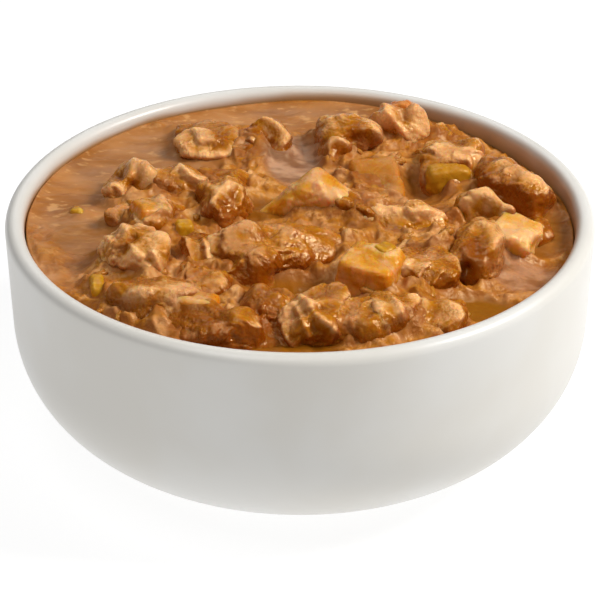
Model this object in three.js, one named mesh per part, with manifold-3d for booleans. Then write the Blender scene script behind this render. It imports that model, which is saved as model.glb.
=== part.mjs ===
/*
 * Chicken curry served in its round bowl.
 *
 * Millimetres, +Z up.  The origin is the centre of the bowl's foot, on the plane it stands on.
 * The bowl is a solid of revolution.  The sauce fills it up to an uneven level, and every piece of
 * chicken, potato, pepper and carrot that breaks the surface is a solid of its own, set in a bed cut
 * for it in the sauce.  Neighbours keep a small gap to each other.
 */
import * as THREE from "three";
import { mergeVertices } from "three/addons/utils/BufferGeometryUtils.js";
import Module from "manifold-3d";

const wasm = await Module();
wasm.setup();

/* ---------------------------------------------------------------- driving dimensions */

const GAP = 0.3; // clearance between solids that would touch
const BED = 0.5; // how much larger, from its centre, a piece's bed is: leaves GAP on slanted faces
const NEAR = 45; // pieces whose centres are further apart never meet
const HEADROOM = 1.5; // how high the serving space reaches, in heights of the bowl
const SAME = 1e-5; // corners closer than this are one
const DEGREE = Math.PI / 180;

/** The bowl: straight upper wall, quarter-round belly, low foot ring. */
const BOWL = {
  height: 62, // foot to lip
  rimRadius: 75, // outside, at the lip
  wallRadius: 74.4, // outside, where the belly begins
  wall: 4.8, // thickness of the upper wall
  bellyTop: 36, // height where the belly begins
  footRadius: 36, // outside of the foot ring
  footInner: 31, // inside of the foot ring
  footHeight: 1.8, // recess under the base
  footBevel: 0.9, // slant of the ring's two sides
  baseThickness: 5.6, // glaze to glaze at the centre
  bellyPower: 2.15, // 2 is a true ellipse, more is squarer
  bellySteps: 5,
  lipSteps: 4,
  segments: 48,
};

/** The sauce: its level, and how it climbs the wall. */
const SAUCE = {
  level: 57.2, // middle and left
  drop: 2.6, // how much lower it lies at the right
  dropFrom: 18, // x where it starts to fall
  dropTo: 62, // x where it is lowest
  climb: 1.2, // rise against the wall
  climbWidth: 2.2,
  wave: { height: 0.35, lengthX: 57, lengthY: 70 }, // slow waves over it
  // thick places where small sunk pieces lift it: x, y, radius, height
  mounds: [
    [-28, 27, 8, 0.8],
    [-6, 28, 9, 1.0],
    [24, 34, 8, 1.2],
    [34, 9, 9, 1.6],
    [-3, -3, 9, 1.6],
    [-31, -12, 7, 1.2],
    [10, -14, 8, 1.2],
    [-10, -37, 7, 0.6],
    [29, -40, 8, 1.0],
    [47, -40, 9, 0.7],
    [-52, -34, 8, 0.6],
  ],
  rings: [14, 28, 41, 52, 61, 66.5],
};

/** How a piece is torn and how its muscles bulge, as shares of its own size. */
const TEARING = {
  depth: 0.7, // nearest that a torn face comes to the centre
  depthSpread: 0.24, // how much further out the furthest lies
  bulgeOut: 0.62, // how far out a bulge's centre lies
  bulge: 0.4, // radius of the smallest bulge
  bulgeSpread: 0.12, // how much larger the largest is
  blend: 16, // how sharply the bulges join the body
};

/** How finely a piece's surface is divided. */
const FACETS = {
  bevel: 0.74, // where the bevels of a boxy piece begin, on a half width of 1
  ringsPerSide: 0.36, // close rings for each facet round a lumpy piece
  closeTo: 92, // degrees off the top where the close rings end
  sunkRing: 128, // degrees off the top of the one ring on the sunk part
};

/* ---------------------------------------------------------------- the pieces in the sauce */

/**
 * One record a piece.  at: centre in plan.  rise: height of its top over the sauce.
 * size: length, width, depth.  turn, tilt, lean: degrees about Z, Y and X, applied X first.
 * corner: 2 is an ellipsoid, larger is boxier.  cuts: how many torn faces flatten it.
 * lobes: how many muscles bulge from its upper half.  faces: sliced faces, each an outward
 * normal and a distance from the centre.  sides: facets round the piece, none for a cube.
 */
const CHICKEN = { kind: "chicken", cuts: 9, lobes: 2, corner: 7, sides: 12 };
const SMALL = { ...CHICKEN, sides: 8 };
const CUBE = { kind: "potato", cuts: 0, lobes: 0, corner: 9, seed: 1 };
const BIT = { cuts: 1, lobes: 0, corner: 4, sides: 7 };
const PEPPER = { ...BIT, kind: "pepper" };
const CARROT = { ...BIT, kind: "carrot" };

const PIECES = [
  // cut vegetables keep their whole form, so they come first
  { ...PEPPER, name: "pepper_05", at: [20.5, -31], rise: 10.6, size: [5, 5, 4], turn: -40, seed: 48 },
  { ...CUBE, name: "potato_01", at: [20, 20.5], rise: 5.5, size: [13, 18, 13], turn: 10, lean: 16 },
  { ...CUBE, name: "potato_02", at: [53, -12], rise: 9, size: [11, 14, 13], turn: -24, tilt: 14 },
  {
    ...CUBE, name: "potato_03", at: [2, 7.5], rise: 11.5, size: [37, 20, 24], sides: 16,
    faces: [
      [-0.18, -0.98, 0, 7.5],
      [0.25, -0.36, 0.9, 9.9],
      [-0.6, -0.05, 0.8, 7.3],
      [0.8, 0.1, 0.6, 11.5],
      [-0.5, 0.8, 0.29, 3.6],
      [0.5, 0.8, 0.3, 6.3],
    ],
  },
  { ...CUBE, name: "potato_04", at: [17, -34.5], rise: 10, size: [14, 14, 17], turn: -22, tilt: 5 },
  { ...CUBE, name: "potato_05", at: [-39, -5.5], rise: 8.6, size: [8, 8, 13], turn: 30, tilt: 14 },
  { ...CUBE, name: "potato_06", at: [-25, -51.5], rise: 8, size: [11, 7, 12], turn: -18 },
  { ...PEPPER, name: "pepper_01", at: [39, 21], rise: 7, size: [12, 7, 8], turn: 8, seed: 41 },
  { ...PEPPER, name: "pepper_02", at: [-57, 4], rise: 2.2, size: [4.5, 4.5, 4], turn: -30, seed: 42 },
  { ...PEPPER, name: "pepper_03", at: [-49, -37], rise: 4.6, size: [4, 9, 8], turn: 10, seed: 43 },
  { ...PEPPER, name: "pepper_04", at: [-29, -10.5], rise: 6, size: [5, 4.5, 8], turn: 10, seed: 44 },
  { ...CARROT, name: "carrot_01", at: [27, 50.5], rise: 11, size: [6.5, 5, 6], turn: -12, seed: 47 },
  // back of the bowl
  { ...CHICKEN, name: "chicken_01", at: [-24, 41], rise: 6.6, size: [19, 24, 13], turn: 8, seed: 1 },
  { ...CHICKEN, name: "chicken_02", at: [-9.5, 43], rise: 7.5, size: [21, 12, 13], turn: -35, seed: 2 },
  { ...CHICKEN, name: "chicken_03", at: [12, 43.5], rise: 10, size: [17, 18, 16], turn: 10, seed: 3 },
  { ...CHICKEN, name: "chicken_04", at: [28, 49.5], rise: 10, size: [17, 11, 15], turn: -14, seed: 4 },
  { ...SMALL, name: "chicken_05", at: [9.5, 33.5], rise: 6.3, size: [9, 12, 10], seed: 5 },
  { ...CHICKEN, name: "chicken_06", at: [42, 27.5], rise: 10, size: [21, 25, 17], turn: -22, seed: 6 },
  { ...CHICKEN, name: "chicken_07", at: [55, 14], rise: 10.2, size: [34, 14, 17], turn: -41, seed: 7 },
  { ...SMALL, name: "chicken_08", at: [38, 50.5], rise: 4, size: [10, 8, 8], turn: -20, seed: 8 },
  { ...SMALL, name: "chicken_09", at: [-13.5, 34.5], rise: 5.5, size: [10, 13, 9], turn: 20, seed: 45 },
  // right of the middle
  { ...CHICKEN, name: "chicken_10", at: [47, -1], rise: 10, size: [19, 11, 17], turn: -8, sides: 10, seed: 9 },
  { ...CHICKEN, name: "chicken_11", at: [44, -20], rise: 10.5, size: [15, 30, 18], turn: 12, seed: 10 },
  { ...CHICKEN, name: "chicken_12", at: [25, -3], rise: 7, size: [34, 15, 12], turn: -6, seed: 11 },
  { ...CHICKEN, name: "chicken_13", at: [29, -29.5], rise: 7, size: [17, 29, 13], turn: 14, seed: 13 },
  { ...SMALL, name: "chicken_14", at: [60.5, -3], rise: 5, size: [7, 16, 10], turn: 20, seed: 28 },
  { ...SMALL, name: "chicken_15", at: [15.5, 2.5], rise: 7, size: [14, 12, 10], turn: -20, seed: 46 },
  // the large one in the middle
  {
    ...CHICKEN, name: "chicken_16", at: [-7.5, -22.5], rise: 10.8, size: [43, 28, 18], turn: 2, sides: 19,
    cuts: 12, lobes: 6, seed: 12,
  },
  // front, left to right
  { ...CHICKEN, name: "chicken_17", at: [-37, -47], rise: 9, size: [31, 17, 15], turn: -28, seed: 20 },
  { ...CHICKEN, name: "chicken_18", at: [-20, -58.5], rise: 8, size: [29, 18, 15], turn: -16, seed: 21 },
  { ...CHICKEN, name: "chicken_19", at: [-8, -53.5], rise: 8.8, size: [20, 24, 17], turn: 6, seed: 14 },
  { ...CHICKEN, name: "chicken_20", at: [2.5, -54], rise: 8.8, size: [15, 24, 17], turn: -12, seed: 15 },
  { ...CHICKEN, name: "chicken_21", at: [12.5, -56.5], rise: 8.2, size: [16, 20, 16], turn: -8, seed: 16 },
  { ...CHICKEN, name: "chicken_22", at: [23.5, -52], rise: 8.3, size: [14, 17, 15], turn: 10, seed: 17 },
  { ...CHICKEN, name: "chicken_23", at: [31.5, -54], rise: 6.4, size: [19, 13, 14], turn: 22, seed: 18 },
  // left of the middle
  { ...CHICKEN, name: "chicken_24", at: [-40.5, -22], rise: 11.5, size: [20, 30, 18], turn: 24, seed: 19 },
  { ...CHICKEN, name: "chicken_25", at: [-44, 15], rise: 8.5, size: [15, 16, 15], turn: 15, seed: 22 },
  { ...CHICKEN, name: "chicken_26", at: [-30.5, 14.5], rise: 8, size: [15, 15, 14], turn: -20, seed: 23 },
  { ...CHICKEN, name: "chicken_27", at: [-19.5, 2.5], rise: 8, size: [15, 19, 15], turn: 30, seed: 24 },
  { ...CHICKEN, name: "chicken_28", at: [-36, -3.5], rise: 7.8, size: [13, 22, 14], turn: -30, sides: 10, seed: 25 },
  { ...SMALL, name: "chicken_29", at: [-20, 18.5], rise: 5.5, size: [17, 9, 10], turn: -12, seed: 26 },
  { ...SMALL, name: "chicken_30", at: [-22, -36], rise: 6, size: [17, 18, 12], turn: 8, seed: 27 },
  { ...SMALL, name: "chicken_31", at: [-44.5, -1.5], rise: 6, size: [7, 11, 10], turn: -40, seed: 29 },
  { ...CHICKEN, name: "chicken_32", at: [-24, -22], rise: 7.5, size: [11, 19, 13], turn: 10, sides: 10, seed: 30 },
];

/* ---------------------------------------------------------------- small tools */

/** Repeatable draws between 0 and 1: the Lehmer sequence with multiplier 16807. */
function draws(seed) {
  const modulus = 2147483647;
  let state = (seed * 7919 + 12345) % modulus;
  const next = () => {
    state = (state * 16807) % modulus;
    return state / modulus;
  };
  next();
  next();
  return next;
}

/** A direction drawn evenly over the sphere. */
function drawnDirection(next) {
  const height = 2 * next() - 1;
  const angle = 2 * Math.PI * next();
  const reach = Math.sqrt(1 - height * height);
  return [reach * Math.cos(angle), reach * Math.sin(angle), height];
}

const dot = (a, b) => a[0] * b[0] + a[1] * b[1] + a[2] * b[2];

/** 0 before `from`, 1 after `to`, and a smooth step between. */
function smoothStep(value, from, to) {
  const t = Math.min(Math.max((value - from) / (to - from), 0), 1);
  return t * t * (3 - 2 * t);
}

/** A closed three.js geometry, with shared corners, as a solid that can be cut. */
function solidOf(geometry) {
  const bare = geometry.index ? geometry.toNonIndexed() : geometry.clone();
  bare.deleteAttribute("normal");
  bare.deleteAttribute("uv");
  const merged = mergeVertices(bare, SAME);
  const corners = merged.index.array;
  const kept = [];
  for (let i = 0; i < corners.length; i += 3) {
    const [a, b, c] = [corners[i], corners[i + 1], corners[i + 2]];
    if (a !== b && b !== c && c !== a) kept.push(a, b, c);
  }
  return new wasm.Manifold(
    new wasm.Mesh({
      numProp: 3,
      vertProperties: new Float32Array(merged.attributes.position.array),
      triVerts: new Uint32Array(kept),
    }),
  );
}

/** The largest connected body of a cut solid, as a three.js geometry: loose scraps are dropped. */
function largestBody(solid) {
  const mesh = solid.getMesh();
  const corners = mesh.triVerts;
  const parent = Array.from({ length: mesh.numVert }, (_, i) => i);
  const root = (i) => {
    while (parent[i] !== i) {
      parent[i] = parent[parent[i]];
      i = parent[i];
    }
    return i;
  };
  for (let i = 0; i < corners.length; i += 3) {
    parent[root(corners[i + 1])] = root(corners[i]);
    parent[root(corners[i + 2])] = root(corners[i]);
  }
  const counts = new Map();
  for (let i = 0; i < corners.length; i += 3) {
    const body = root(corners[i]);
    counts.set(body, (counts.get(body) ?? 0) + 1);
  }
  const largest = [...counts].sort((a, b) => b[1] - a[1])[0][0];
  const index = [];
  for (let i = 0; i < corners.length; i += 3) {
    if (root(corners[i]) === largest) index.push(corners[i], corners[i + 1], corners[i + 2]);
  }
  const geometry = new THREE.BufferGeometry();
  geometry.setAttribute("position", new THREE.BufferAttribute(new Float32Array(mesh.vertProperties), 3));
  geometry.setIndex(index);
  const clean = geometry.toNonIndexed();
  clean.computeVertexNormals();
  return clean;
}

/** A profile of [radius, height] points turned about the Z axis. */
function turned(profile, segments) {
  const points = profile.map(([radius, height]) => new THREE.Vector2(radius, height));
  return new THREE.LatheGeometry(points, segments).rotateX(Math.PI / 2);
}

/* ---------------------------------------------------------------- the bowl */

/** Quarter of a superellipse from the axis side of the base out to the wall, bottom to top. */
function belly(centreRadius, centreHeight, reach, depth) {
  const power = 2 / BOWL.bellyPower;
  return Array.from({ length: BOWL.bellySteps + 1 }, (_, i) => {
    const angle = (i / BOWL.bellySteps) * (Math.PI / 2);
    return [
      centreRadius + reach * Math.sin(angle) ** power,
      centreHeight - depth * Math.cos(angle) ** power,
    ];
  });
}

/** Outline of the inside, from the axis up to the lip, moved `inset` into the hollow. */
function innerOutline(inset) {
  const floor = BOWL.footHeight + BOWL.baseThickness + inset;
  const flat = BOWL.footRadius - BOWL.baseThickness;
  const radius = BOWL.wallRadius - BOWL.wall - inset;
  return [[0, floor], ...belly(flat, BOWL.bellyTop, radius - flat, BOWL.bellyTop - floor)];
}

/** The lip: a half circle over the wall's thickness, from outside to inside. */
function lip() {
  const radius = BOWL.wall / 2;
  return Array.from({ length: BOWL.lipSteps + 1 }, (_, i) => {
    const angle = (i / BOWL.lipSteps) * Math.PI;
    const [out, up] = [radius * Math.cos(angle), radius * Math.sin(angle)];
    return [BOWL.rimRadius - radius + out, BOWL.height - radius + up];
  });
}

function bowlGeometry() {
  const { footInner, footRadius, footHeight, footBevel, wallRadius, bellyTop } = BOWL;
  const profile = [
    [0, footHeight],
    [footInner - footBevel, footHeight],
    [footInner, 0],
    [footRadius - footBevel, 0],
    ...belly(footRadius, bellyTop, wallRadius - footRadius, bellyTop - footHeight),
    ...lip(),
    ...innerOutline(0).reverse(),
  ];
  return turned(profile, BOWL.segments);
}

/* ---------------------------------------------------------------- the sauce */

/** Height of the sauce if it were smooth. */
function stillLevel(x) {
  return SAUCE.level - SAUCE.drop * smoothStep(x, SAUCE.dropFrom, SAUCE.dropTo);
}

/** Height of its uneven surface: slow waves, bell-shaped mounds, and the climb up the wall. */
function sauceLevel(x, y) {
  const { height: swell, lengthX, lengthY } = SAUCE.wave;
  let level = stillLevel(x);
  level += swell * Math.sin((2 * Math.PI * x) / lengthX + 1) * Math.cos((2 * Math.PI * y) / lengthY);
  for (const [moundX, moundY, radius, height] of SAUCE.mounds) {
    level += height * Math.exp(-(((x - moundX) ** 2 + (y - moundY) ** 2) / radius ** 2));
  }
  const edge = BOWL.wallRadius - BOWL.wall - Math.hypot(x, y);
  return level + SAUCE.climb * Math.exp(-edge / SAUCE.climbWidth);
}

/** The sauce before its beds are cut: the bowl's hollow up to the level. */
function sauceBody() {
  const wallInside = BOWL.wallRadius - BOWL.wall - GAP;
  const ceiling = BOWL.height;
  const top = [wallInside, ...SAUCE.rings.toReversed(), 0].map((radius) => [radius, ceiling]);
  const geometry = turned([...innerOutline(GAP), ...top], BOWL.segments);
  const position = geometry.attributes.position;
  for (let i = 0; i < position.count; i += 1) {
    if (position.getZ(i) > ceiling - GAP) {
      position.setZ(i, sauceLevel(position.getX(i), position.getY(i)));
    }
  }
  return solidOf(geometry);
}

/* ---------------------------------------------------------------- a piece */

/** Everything that fixes a piece's form, worked out from its record. */
function formOf(piece) {
  const next = draws(piece.seed);
  const half = piece.size.map((length) => length / 2);
  const cuts = Array.from({ length: piece.cuts }, () => {
    const normal = drawnDirection(next);
    const depth = TEARING.depth + TEARING.depthSpread * next();
    return { normal, reach: depth * Math.hypot(...half.map((h, axis) => h * normal[axis])) };
  });
  for (const [x, y, z, reach] of piece.faces ?? []) cuts.push({ normal: [x, y, z], reach });
  const plain = { half, cuts, corner: piece.corner };
  const lobes = Array.from({ length: piece.lobes }, () => {
    const [x, y, z] = drawnDirection(next);
    const towards = [x, y, Math.abs(z)];
    const reach = plainRadius(plain, towards);
    const radius = (TEARING.bulge + TEARING.bulgeSpread * next()) * reach;
    return { centre: towards.map((value) => TEARING.bulgeOut * reach * value), radius };
  });
  const [lean, tilt, swing] = [piece.lean, piece.tilt, piece.turn].map((angle) => (angle ?? 0) * DEGREE);
  const turn = new THREE.Matrix4().makeRotationFromEuler(new THREE.Euler(lean, tilt, swing, "ZYX"));
  return { ...plain, lobes, turn };
}

/** Distance from the centre to a superellipsoid that is also rounded over each cut's plane. */
function plainRadius(form, direction) {
  const { half, cuts, corner } = form;
  let sum = 0;
  for (let axis = 0; axis < 3; axis += 1) sum += Math.abs(direction[axis] / half[axis]) ** corner;
  for (const cut of cuts) sum += (Math.max(0, dot(direction, cut.normal)) / cut.reach) ** corner;
  return sum ** (-1 / corner);
}

/** The same, joined softly with the balls that bulge from it. */
function radiusOf(form, direction) {
  const { blend } = TEARING;
  let sum = plainRadius(form, direction) ** blend;
  for (const { centre, radius } of form.lobes) {
    const along = dot(direction, centre);
    const square = radius ** 2 - dot(centre, centre) + along ** 2;
    if (square > 0) sum += Math.max(0, along + Math.sqrt(square)) ** blend;
  }
  return sum ** (1 / blend);
}

/** Height of a piece's centre, so that its top stands `rise` over the sauce. */
function centreHeight(piece, form) {
  const [steepest, step] = [60, 10]; // degrees off the vertical that are searched, and how finely
  const probe = new THREE.Vector3();
  let top = 0;
  for (let polar = 0; polar <= steepest; polar += step) {
    for (let around = 0; around < 360; around += 2 * step) {
      const reach = Math.sin(polar * DEGREE);
      const direction = [
        reach * Math.cos(around * DEGREE),
        reach * Math.sin(around * DEGREE),
        Math.cos(polar * DEGREE),
      ];
      probe.set(...direction).multiplyScalar(radiusOf(form, direction)).applyMatrix4(form.turn);
      top = Math.max(top, probe.z);
    }
  }
  return stillLevel(piece.at[0]) + piece.rise - top;
}

/** Directions of a boxy piece: a box whose outer rows of facets are narrow bevels. */
function bevelledBox() {
  const [width, rows] = [2, 3];
  const box = new THREE.BoxGeometry(width, width, width, rows, rows, rows);
  const position = box.attributes.position;
  const innerRow = width / 2 / rows;
  const isInner = (value) => Math.abs(value) < 1.5 * innerRow;
  const moved = (value) => (isInner(value) ? Math.sign(value) * FACETS.bevel : value);
  for (let i = 0; i < position.count; i += 1) {
    position.setXYZ(i, moved(position.getX(i)), moved(position.getY(i)), moved(position.getZ(i)));
  }
  return box;
}

/** Directions of a lumpy piece: close rings over the part that shows, one ring on the sunk part. */
function ringedBall(sides) {
  const shown = Math.max(3, Math.round(sides * FACETS.ringsPerSide));
  const close = Array.from({ length: shown }, (_, i) => ((i + 1) / shown) * FACETS.closeTo);
  const angles = [...close, FACETS.sunkRing];
  const profile = angles.map((angle) => [Math.sin(angle * DEGREE), Math.cos(angle * DEGREE)]);
  return turned([[0, -1], ...profile.toReversed(), [0, 1]], sides);
}

/** A piece's closed surface, `grown` outwards. */
function pieceGeometry(piece, grown) {
  const form = formOf(piece);
  const geometry = piece.sides ? ringedBall(piece.sides) : bevelledBox();
  const position = geometry.attributes.position;
  const centre = new THREE.Vector3(...piece.at, centreHeight(piece, form));
  const point = new THREE.Vector3();
  for (let i = 0; i < position.count; i += 1) {
    point.fromBufferAttribute(position, i).normalize();
    point.multiplyScalar(radiusOf(form, point.toArray()) + grown).applyMatrix4(form.turn).add(centre);
    position.setXYZ(i, point.x, point.y, point.z);
  }
  return geometry;
}

/* ---------------------------------------------------------------- the model */

const COLOURS = {
  bowl: { color: 0xe9e6df, roughness: 0.22 },
  sauce: { color: 0xb87d50, roughness: 0.28 },
  chicken: { color: 0xbe8240, roughness: 0.38 },
  potato: { color: 0xd69a48, roughness: 0.35 },
  pepper: { color: 0xc89a1e, roughness: 0.35 },
  carrot: { color: 0xcf7526, roughness: 0.35 },
};

const material = (name) => new THREE.MeshStandardMaterial({ ...COLOURS[name], metalness: 0 });

function named(name, geometry, look) {
  const mesh = new THREE.Mesh(geometry, material(look));
  mesh.name = name;
  return mesh;
}

/** The hollow that the food may fill, kept clear of the wall and open upwards. */
function servingSpace() {
  const above = HEADROOM * BOWL.height;
  const outline = innerOutline(GAP);
  const [wallRadius] = outline.at(-1);
  return solidOf(turned([...outline, [wallRadius, above], [0, above]], BOWL.segments));
}

const curry = new THREE.Group();
curry.add(named("bowl", largestBody(solidOf(bowlGeometry())), "bowl"));

const space = servingSpace();
const placed = [];
let sauce = sauceBody();
for (const piece of PIECES) {
  let solid = solidOf(pieceGeometry(piece, 0)).intersect(space);
  for (const other of placed) {
    const apart = Math.hypot(piece.at[0] - other.piece.at[0], piece.at[1] - other.piece.at[1]);
    if (apart < NEAR) solid = solid.subtract(other.grown);
  }
  const grown = solidOf(pieceGeometry(piece, BED));
  placed.push({ piece, grown });
  sauce = sauce.subtract(grown);
  curry.add(named(piece.name, largestBody(solid), piece.kind));
}
curry.add(named("sauce", largestBody(sauce), "sauce"));

export default curry;
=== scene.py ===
"""Chicken curry served in a round white bowl: the visual model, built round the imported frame.

Lengths are in millimetres in every class and become metres where a mesh is made.  Z is up and the
origin is the centre of the bowl's foot, on the plane it stands on.  Each surface is worked out with
numpy on a grid of two parameters; its formula stands in the docstring of the method that makes it.
"""

import logging
import math
from collections.abc import Iterator
from dataclasses import dataclass, field
from enum import Enum

import bpy
import numpy as np
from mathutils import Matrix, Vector


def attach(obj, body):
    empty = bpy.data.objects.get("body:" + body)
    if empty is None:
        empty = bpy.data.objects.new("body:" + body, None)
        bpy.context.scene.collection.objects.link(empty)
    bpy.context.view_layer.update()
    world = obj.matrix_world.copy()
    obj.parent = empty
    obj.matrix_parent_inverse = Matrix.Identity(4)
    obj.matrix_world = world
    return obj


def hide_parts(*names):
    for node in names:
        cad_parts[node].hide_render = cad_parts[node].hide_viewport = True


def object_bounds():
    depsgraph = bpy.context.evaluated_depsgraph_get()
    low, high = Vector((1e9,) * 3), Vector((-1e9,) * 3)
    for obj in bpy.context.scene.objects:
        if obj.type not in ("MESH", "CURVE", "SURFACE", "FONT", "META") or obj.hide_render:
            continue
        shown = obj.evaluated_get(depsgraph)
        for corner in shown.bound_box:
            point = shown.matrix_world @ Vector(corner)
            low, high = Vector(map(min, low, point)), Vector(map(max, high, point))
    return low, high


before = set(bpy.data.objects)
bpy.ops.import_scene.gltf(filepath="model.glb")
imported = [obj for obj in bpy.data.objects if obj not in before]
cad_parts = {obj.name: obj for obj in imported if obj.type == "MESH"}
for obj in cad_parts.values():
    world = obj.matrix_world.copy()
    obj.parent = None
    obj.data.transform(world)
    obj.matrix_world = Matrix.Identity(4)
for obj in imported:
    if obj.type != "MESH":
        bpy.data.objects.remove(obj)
CAD_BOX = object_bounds()

LOG = logging.getLogger("curry")
METRE = 0.001  # metres in a millimetre
Triple = tuple[float, float, float]
Colour = Triple
Place = tuple[float, float]
Span = tuple[float, float]  # where something begins and where it ends
LEHMER = (16807, 2147483647)  # multiplier and modulus of the drawn numbers
LEHMER_START = (7919, 12345)  # factor and offset that turn a seed into the first state


# ------------------------------------------------------------------ numbers over whole arrays


def smooth_step(value: np.ndarray | float, low: float, high: float) -> np.ndarray:
    """0 below `low`, 1 above `high` and a smooth cubic step between.

    Args:
        value: the numbers to step.
        low: where the step begins.
        high: where it ends.

    Returns:
        The stepped numbers, from 0 to 1.
    """
    share = np.clip((np.asarray(value, float) - low) / (high - low), 0.0, 1.0)
    return share * share * (3.0 - 2.0 * share)


def soft_maximum(first: np.ndarray, second: np.ndarray, blend: float) -> np.ndarray:
    """The larger of two heights, rounded over a width of `blend` where they are alike."""
    apart = first - second
    return 0.5 * (first + second + np.sqrt(apart * apart + blend * blend))


class GradientNoise:
    """Repeatable smooth noise over space.

    Every corner of a unit lattice has a random slope.  The value is the sum, over the eight corners
    round a point, of slope times offset, weighted by a quintic fade of the offset.
    """

    LATTICE = 256
    SPREAD = 1.6
    CREST = 0.14  # how far the crests of the ridged noise are rounded off
    CARRY = 1.4  # how strongly a ridge passes its height on to the next octave
    # how far apart in the lattice the three noises of a warp lie, and the octaves of the other two
    WARP_APART = 91.7
    CRAG_APART = 17.3
    HUMP_APART = 29.3

    def __init__(self, seed: int) -> None:
        """Draws the lattice's slopes for one seed.

        Args:
            seed: what the slopes are drawn from.
        """
        draw = np.random.default_rng(seed)
        self.order = np.tile(draw.permutation(self.LATTICE), 2)
        slopes = draw.normal(size=(self.LATTICE, 3))
        self.slopes = slopes / np.linalg.norm(slopes, axis=1, keepdims=True)

    def at(self, points: np.ndarray, length: float | Triple = 1.0) -> np.ndarray:
        """Noise at each point.

        Args:
            points: N by 3 array.
            length: wavelength, or one for each axis, in the points' unit.

        Returns:
            N values, nearly all of them between -1 and 1.
        """
        scaled = points / np.asarray(length, float)
        cell = np.floor(scaled).astype(int)
        offset = scaled - cell
        fade = offset**3 * (offset * (offset * 6.0 - 15.0) + 10.0)
        total = np.zeros(len(points))
        for corner in np.ndindex(2, 2, 2):
            place = (cell + corner) % self.LATTICE
            key = self.order[self.order[place[:, 0]] + place[:, 1]]
            slope = self.slopes[self.order[key + place[:, 2]]]
            weight = np.prod(np.where(np.array(corner) == 1, fade, 1.0 - fade), axis=1)
            total += weight * np.einsum("ij,ij->i", slope, offset - corner)
        return self.SPREAD * total

    def warp(self, points: np.ndarray, length: float, reach: float) -> np.ndarray:
        """Points pushed about by up to `reach`, by three noises far apart in the lattice.

        Args:
            points: N by 3 array.
            length: wavelength of the push.
            reach: how far it moves a point.

        Returns:
            The moved points.
        """
        push = [self.at(points + self.WARP_APART * axis, length) for axis in (1, 2, 3)]
        return points + reach * np.stack(push, axis=1)

    def crag(self, points: np.ndarray, length: float, octaves: int, gain: float) -> np.ndarray:
        """Ridged noise: octaves of (1 - |noise|)^2 with rounded crests, each finer one strongest where
        the last one was high.

        Args:
            points: N by 3 array.
            length: wavelength of the coarsest octave.
            octaves: how many, each at half the wavelength of the last.
            gain: height of each against the last.

        Returns:
            N values, about 0 to 1.3.
        """
        total = np.zeros(len(points))
        weight = np.ones(len(points))
        height = 1.0
        for octave in range(octaves):
            wave = self.at(points + self.CRAG_APART * octave, length / 2**octave)
            ridge = (1.0 - np.sqrt(wave * wave + self.CREST**2)) ** 2
            total += height * weight * ridge
            weight = np.clip(self.CARRY * ridge, 0.0, 1.0)
            height *= gain
        return total

    def humps(self, points: np.ndarray, length: float, octaves: int, gain: float) -> np.ndarray:
        """Billowing noise: octaves of |noise| with rounded creases, which looks like soft curds.

        Args:
            points: N by 3 array.
            length: wavelength of the coarsest octave.
            octaves: how many, each at half the wavelength of the last.
            gain: height of each against the last.

        Returns:
            N values, about 0 to 1.
        """
        total = np.zeros(len(points))
        for octave in range(octaves):
            wave = self.at(points + self.HUMP_APART * octave, length / 2**octave)
            total += gain**octave * (np.sqrt(wave * wave + self.CREST**2) - self.CREST)
        return total


def draws(seed: int) -> Iterator[float]:
    """The Lehmer sequence as numbers between 0 and 1, without its first two.

    Args:
        seed: what the sequence starts from.

    Returns:
        The endless sequence.
    """
    multiplier, modulus = LEHMER
    factor, offset = LEHMER_START
    state = (seed * factor + offset) * multiplier**2 % modulus
    while True:
        state = state * multiplier % modulus
        yield state / modulus


def drawn_direction(source: Iterator[float]) -> np.ndarray:
    """A direction drawn evenly over the sphere from the next two numbers of `source`.

    Args:
        source: the drawn numbers.

    Returns:
        The unit vector.
    """
    height = 2.0 * next(source) - 1.0
    angle = 2.0 * math.pi * next(source)
    reach = math.sqrt(1.0 - height * height)
    return np.array([reach * math.cos(angle), reach * math.sin(angle), height])


# ------------------------------------------------------------------ how the bowl is looked at


@dataclass(frozen=True)
class Seat:
    """Where the bowl is looked at from, and the plane square to the line of sight that strokes lie on."""

    place: Triple = (0.0, -531.28, 340.81)
    pitch: float = 29.978
    sensor: float = 36.0
    focal: float = 141.0
    plane: float = 594.9  # distance of the plane from the eye
    grazing: Span = (-0.15, 0.35)  # how far towards the eye a face turns before strokes show on it

    def sight(self) -> np.ndarray:
        """Unit vectors across, up and ahead, as rows.

        Returns:
            A 3 by 3 array.
        """
        down = math.radians(self.pitch)
        ahead = [0.0, math.cos(down), -math.sin(down)]
        up = [0.0, math.sin(down), math.cos(down)]
        return np.array([[1.0, 0.0, 0.0], up, ahead])

    def on_plane(self, points: np.ndarray) -> np.ndarray:
        """Where points are seen on the plane: millimetres across and up from its middle, N by 2."""
        seen = (points - np.array(self.place)) @ self.sight().T
        return self.plane * seen[:, :2] / seen[:, 2:3]

    def facing(self, directions: np.ndarray) -> np.ndarray:
        """0 for directions that point away from the eye and 1 for those that point well towards it."""
        return smooth_step(-(directions @ self.sight()[2]), *self.grazing)


SEAT = Seat()


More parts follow.
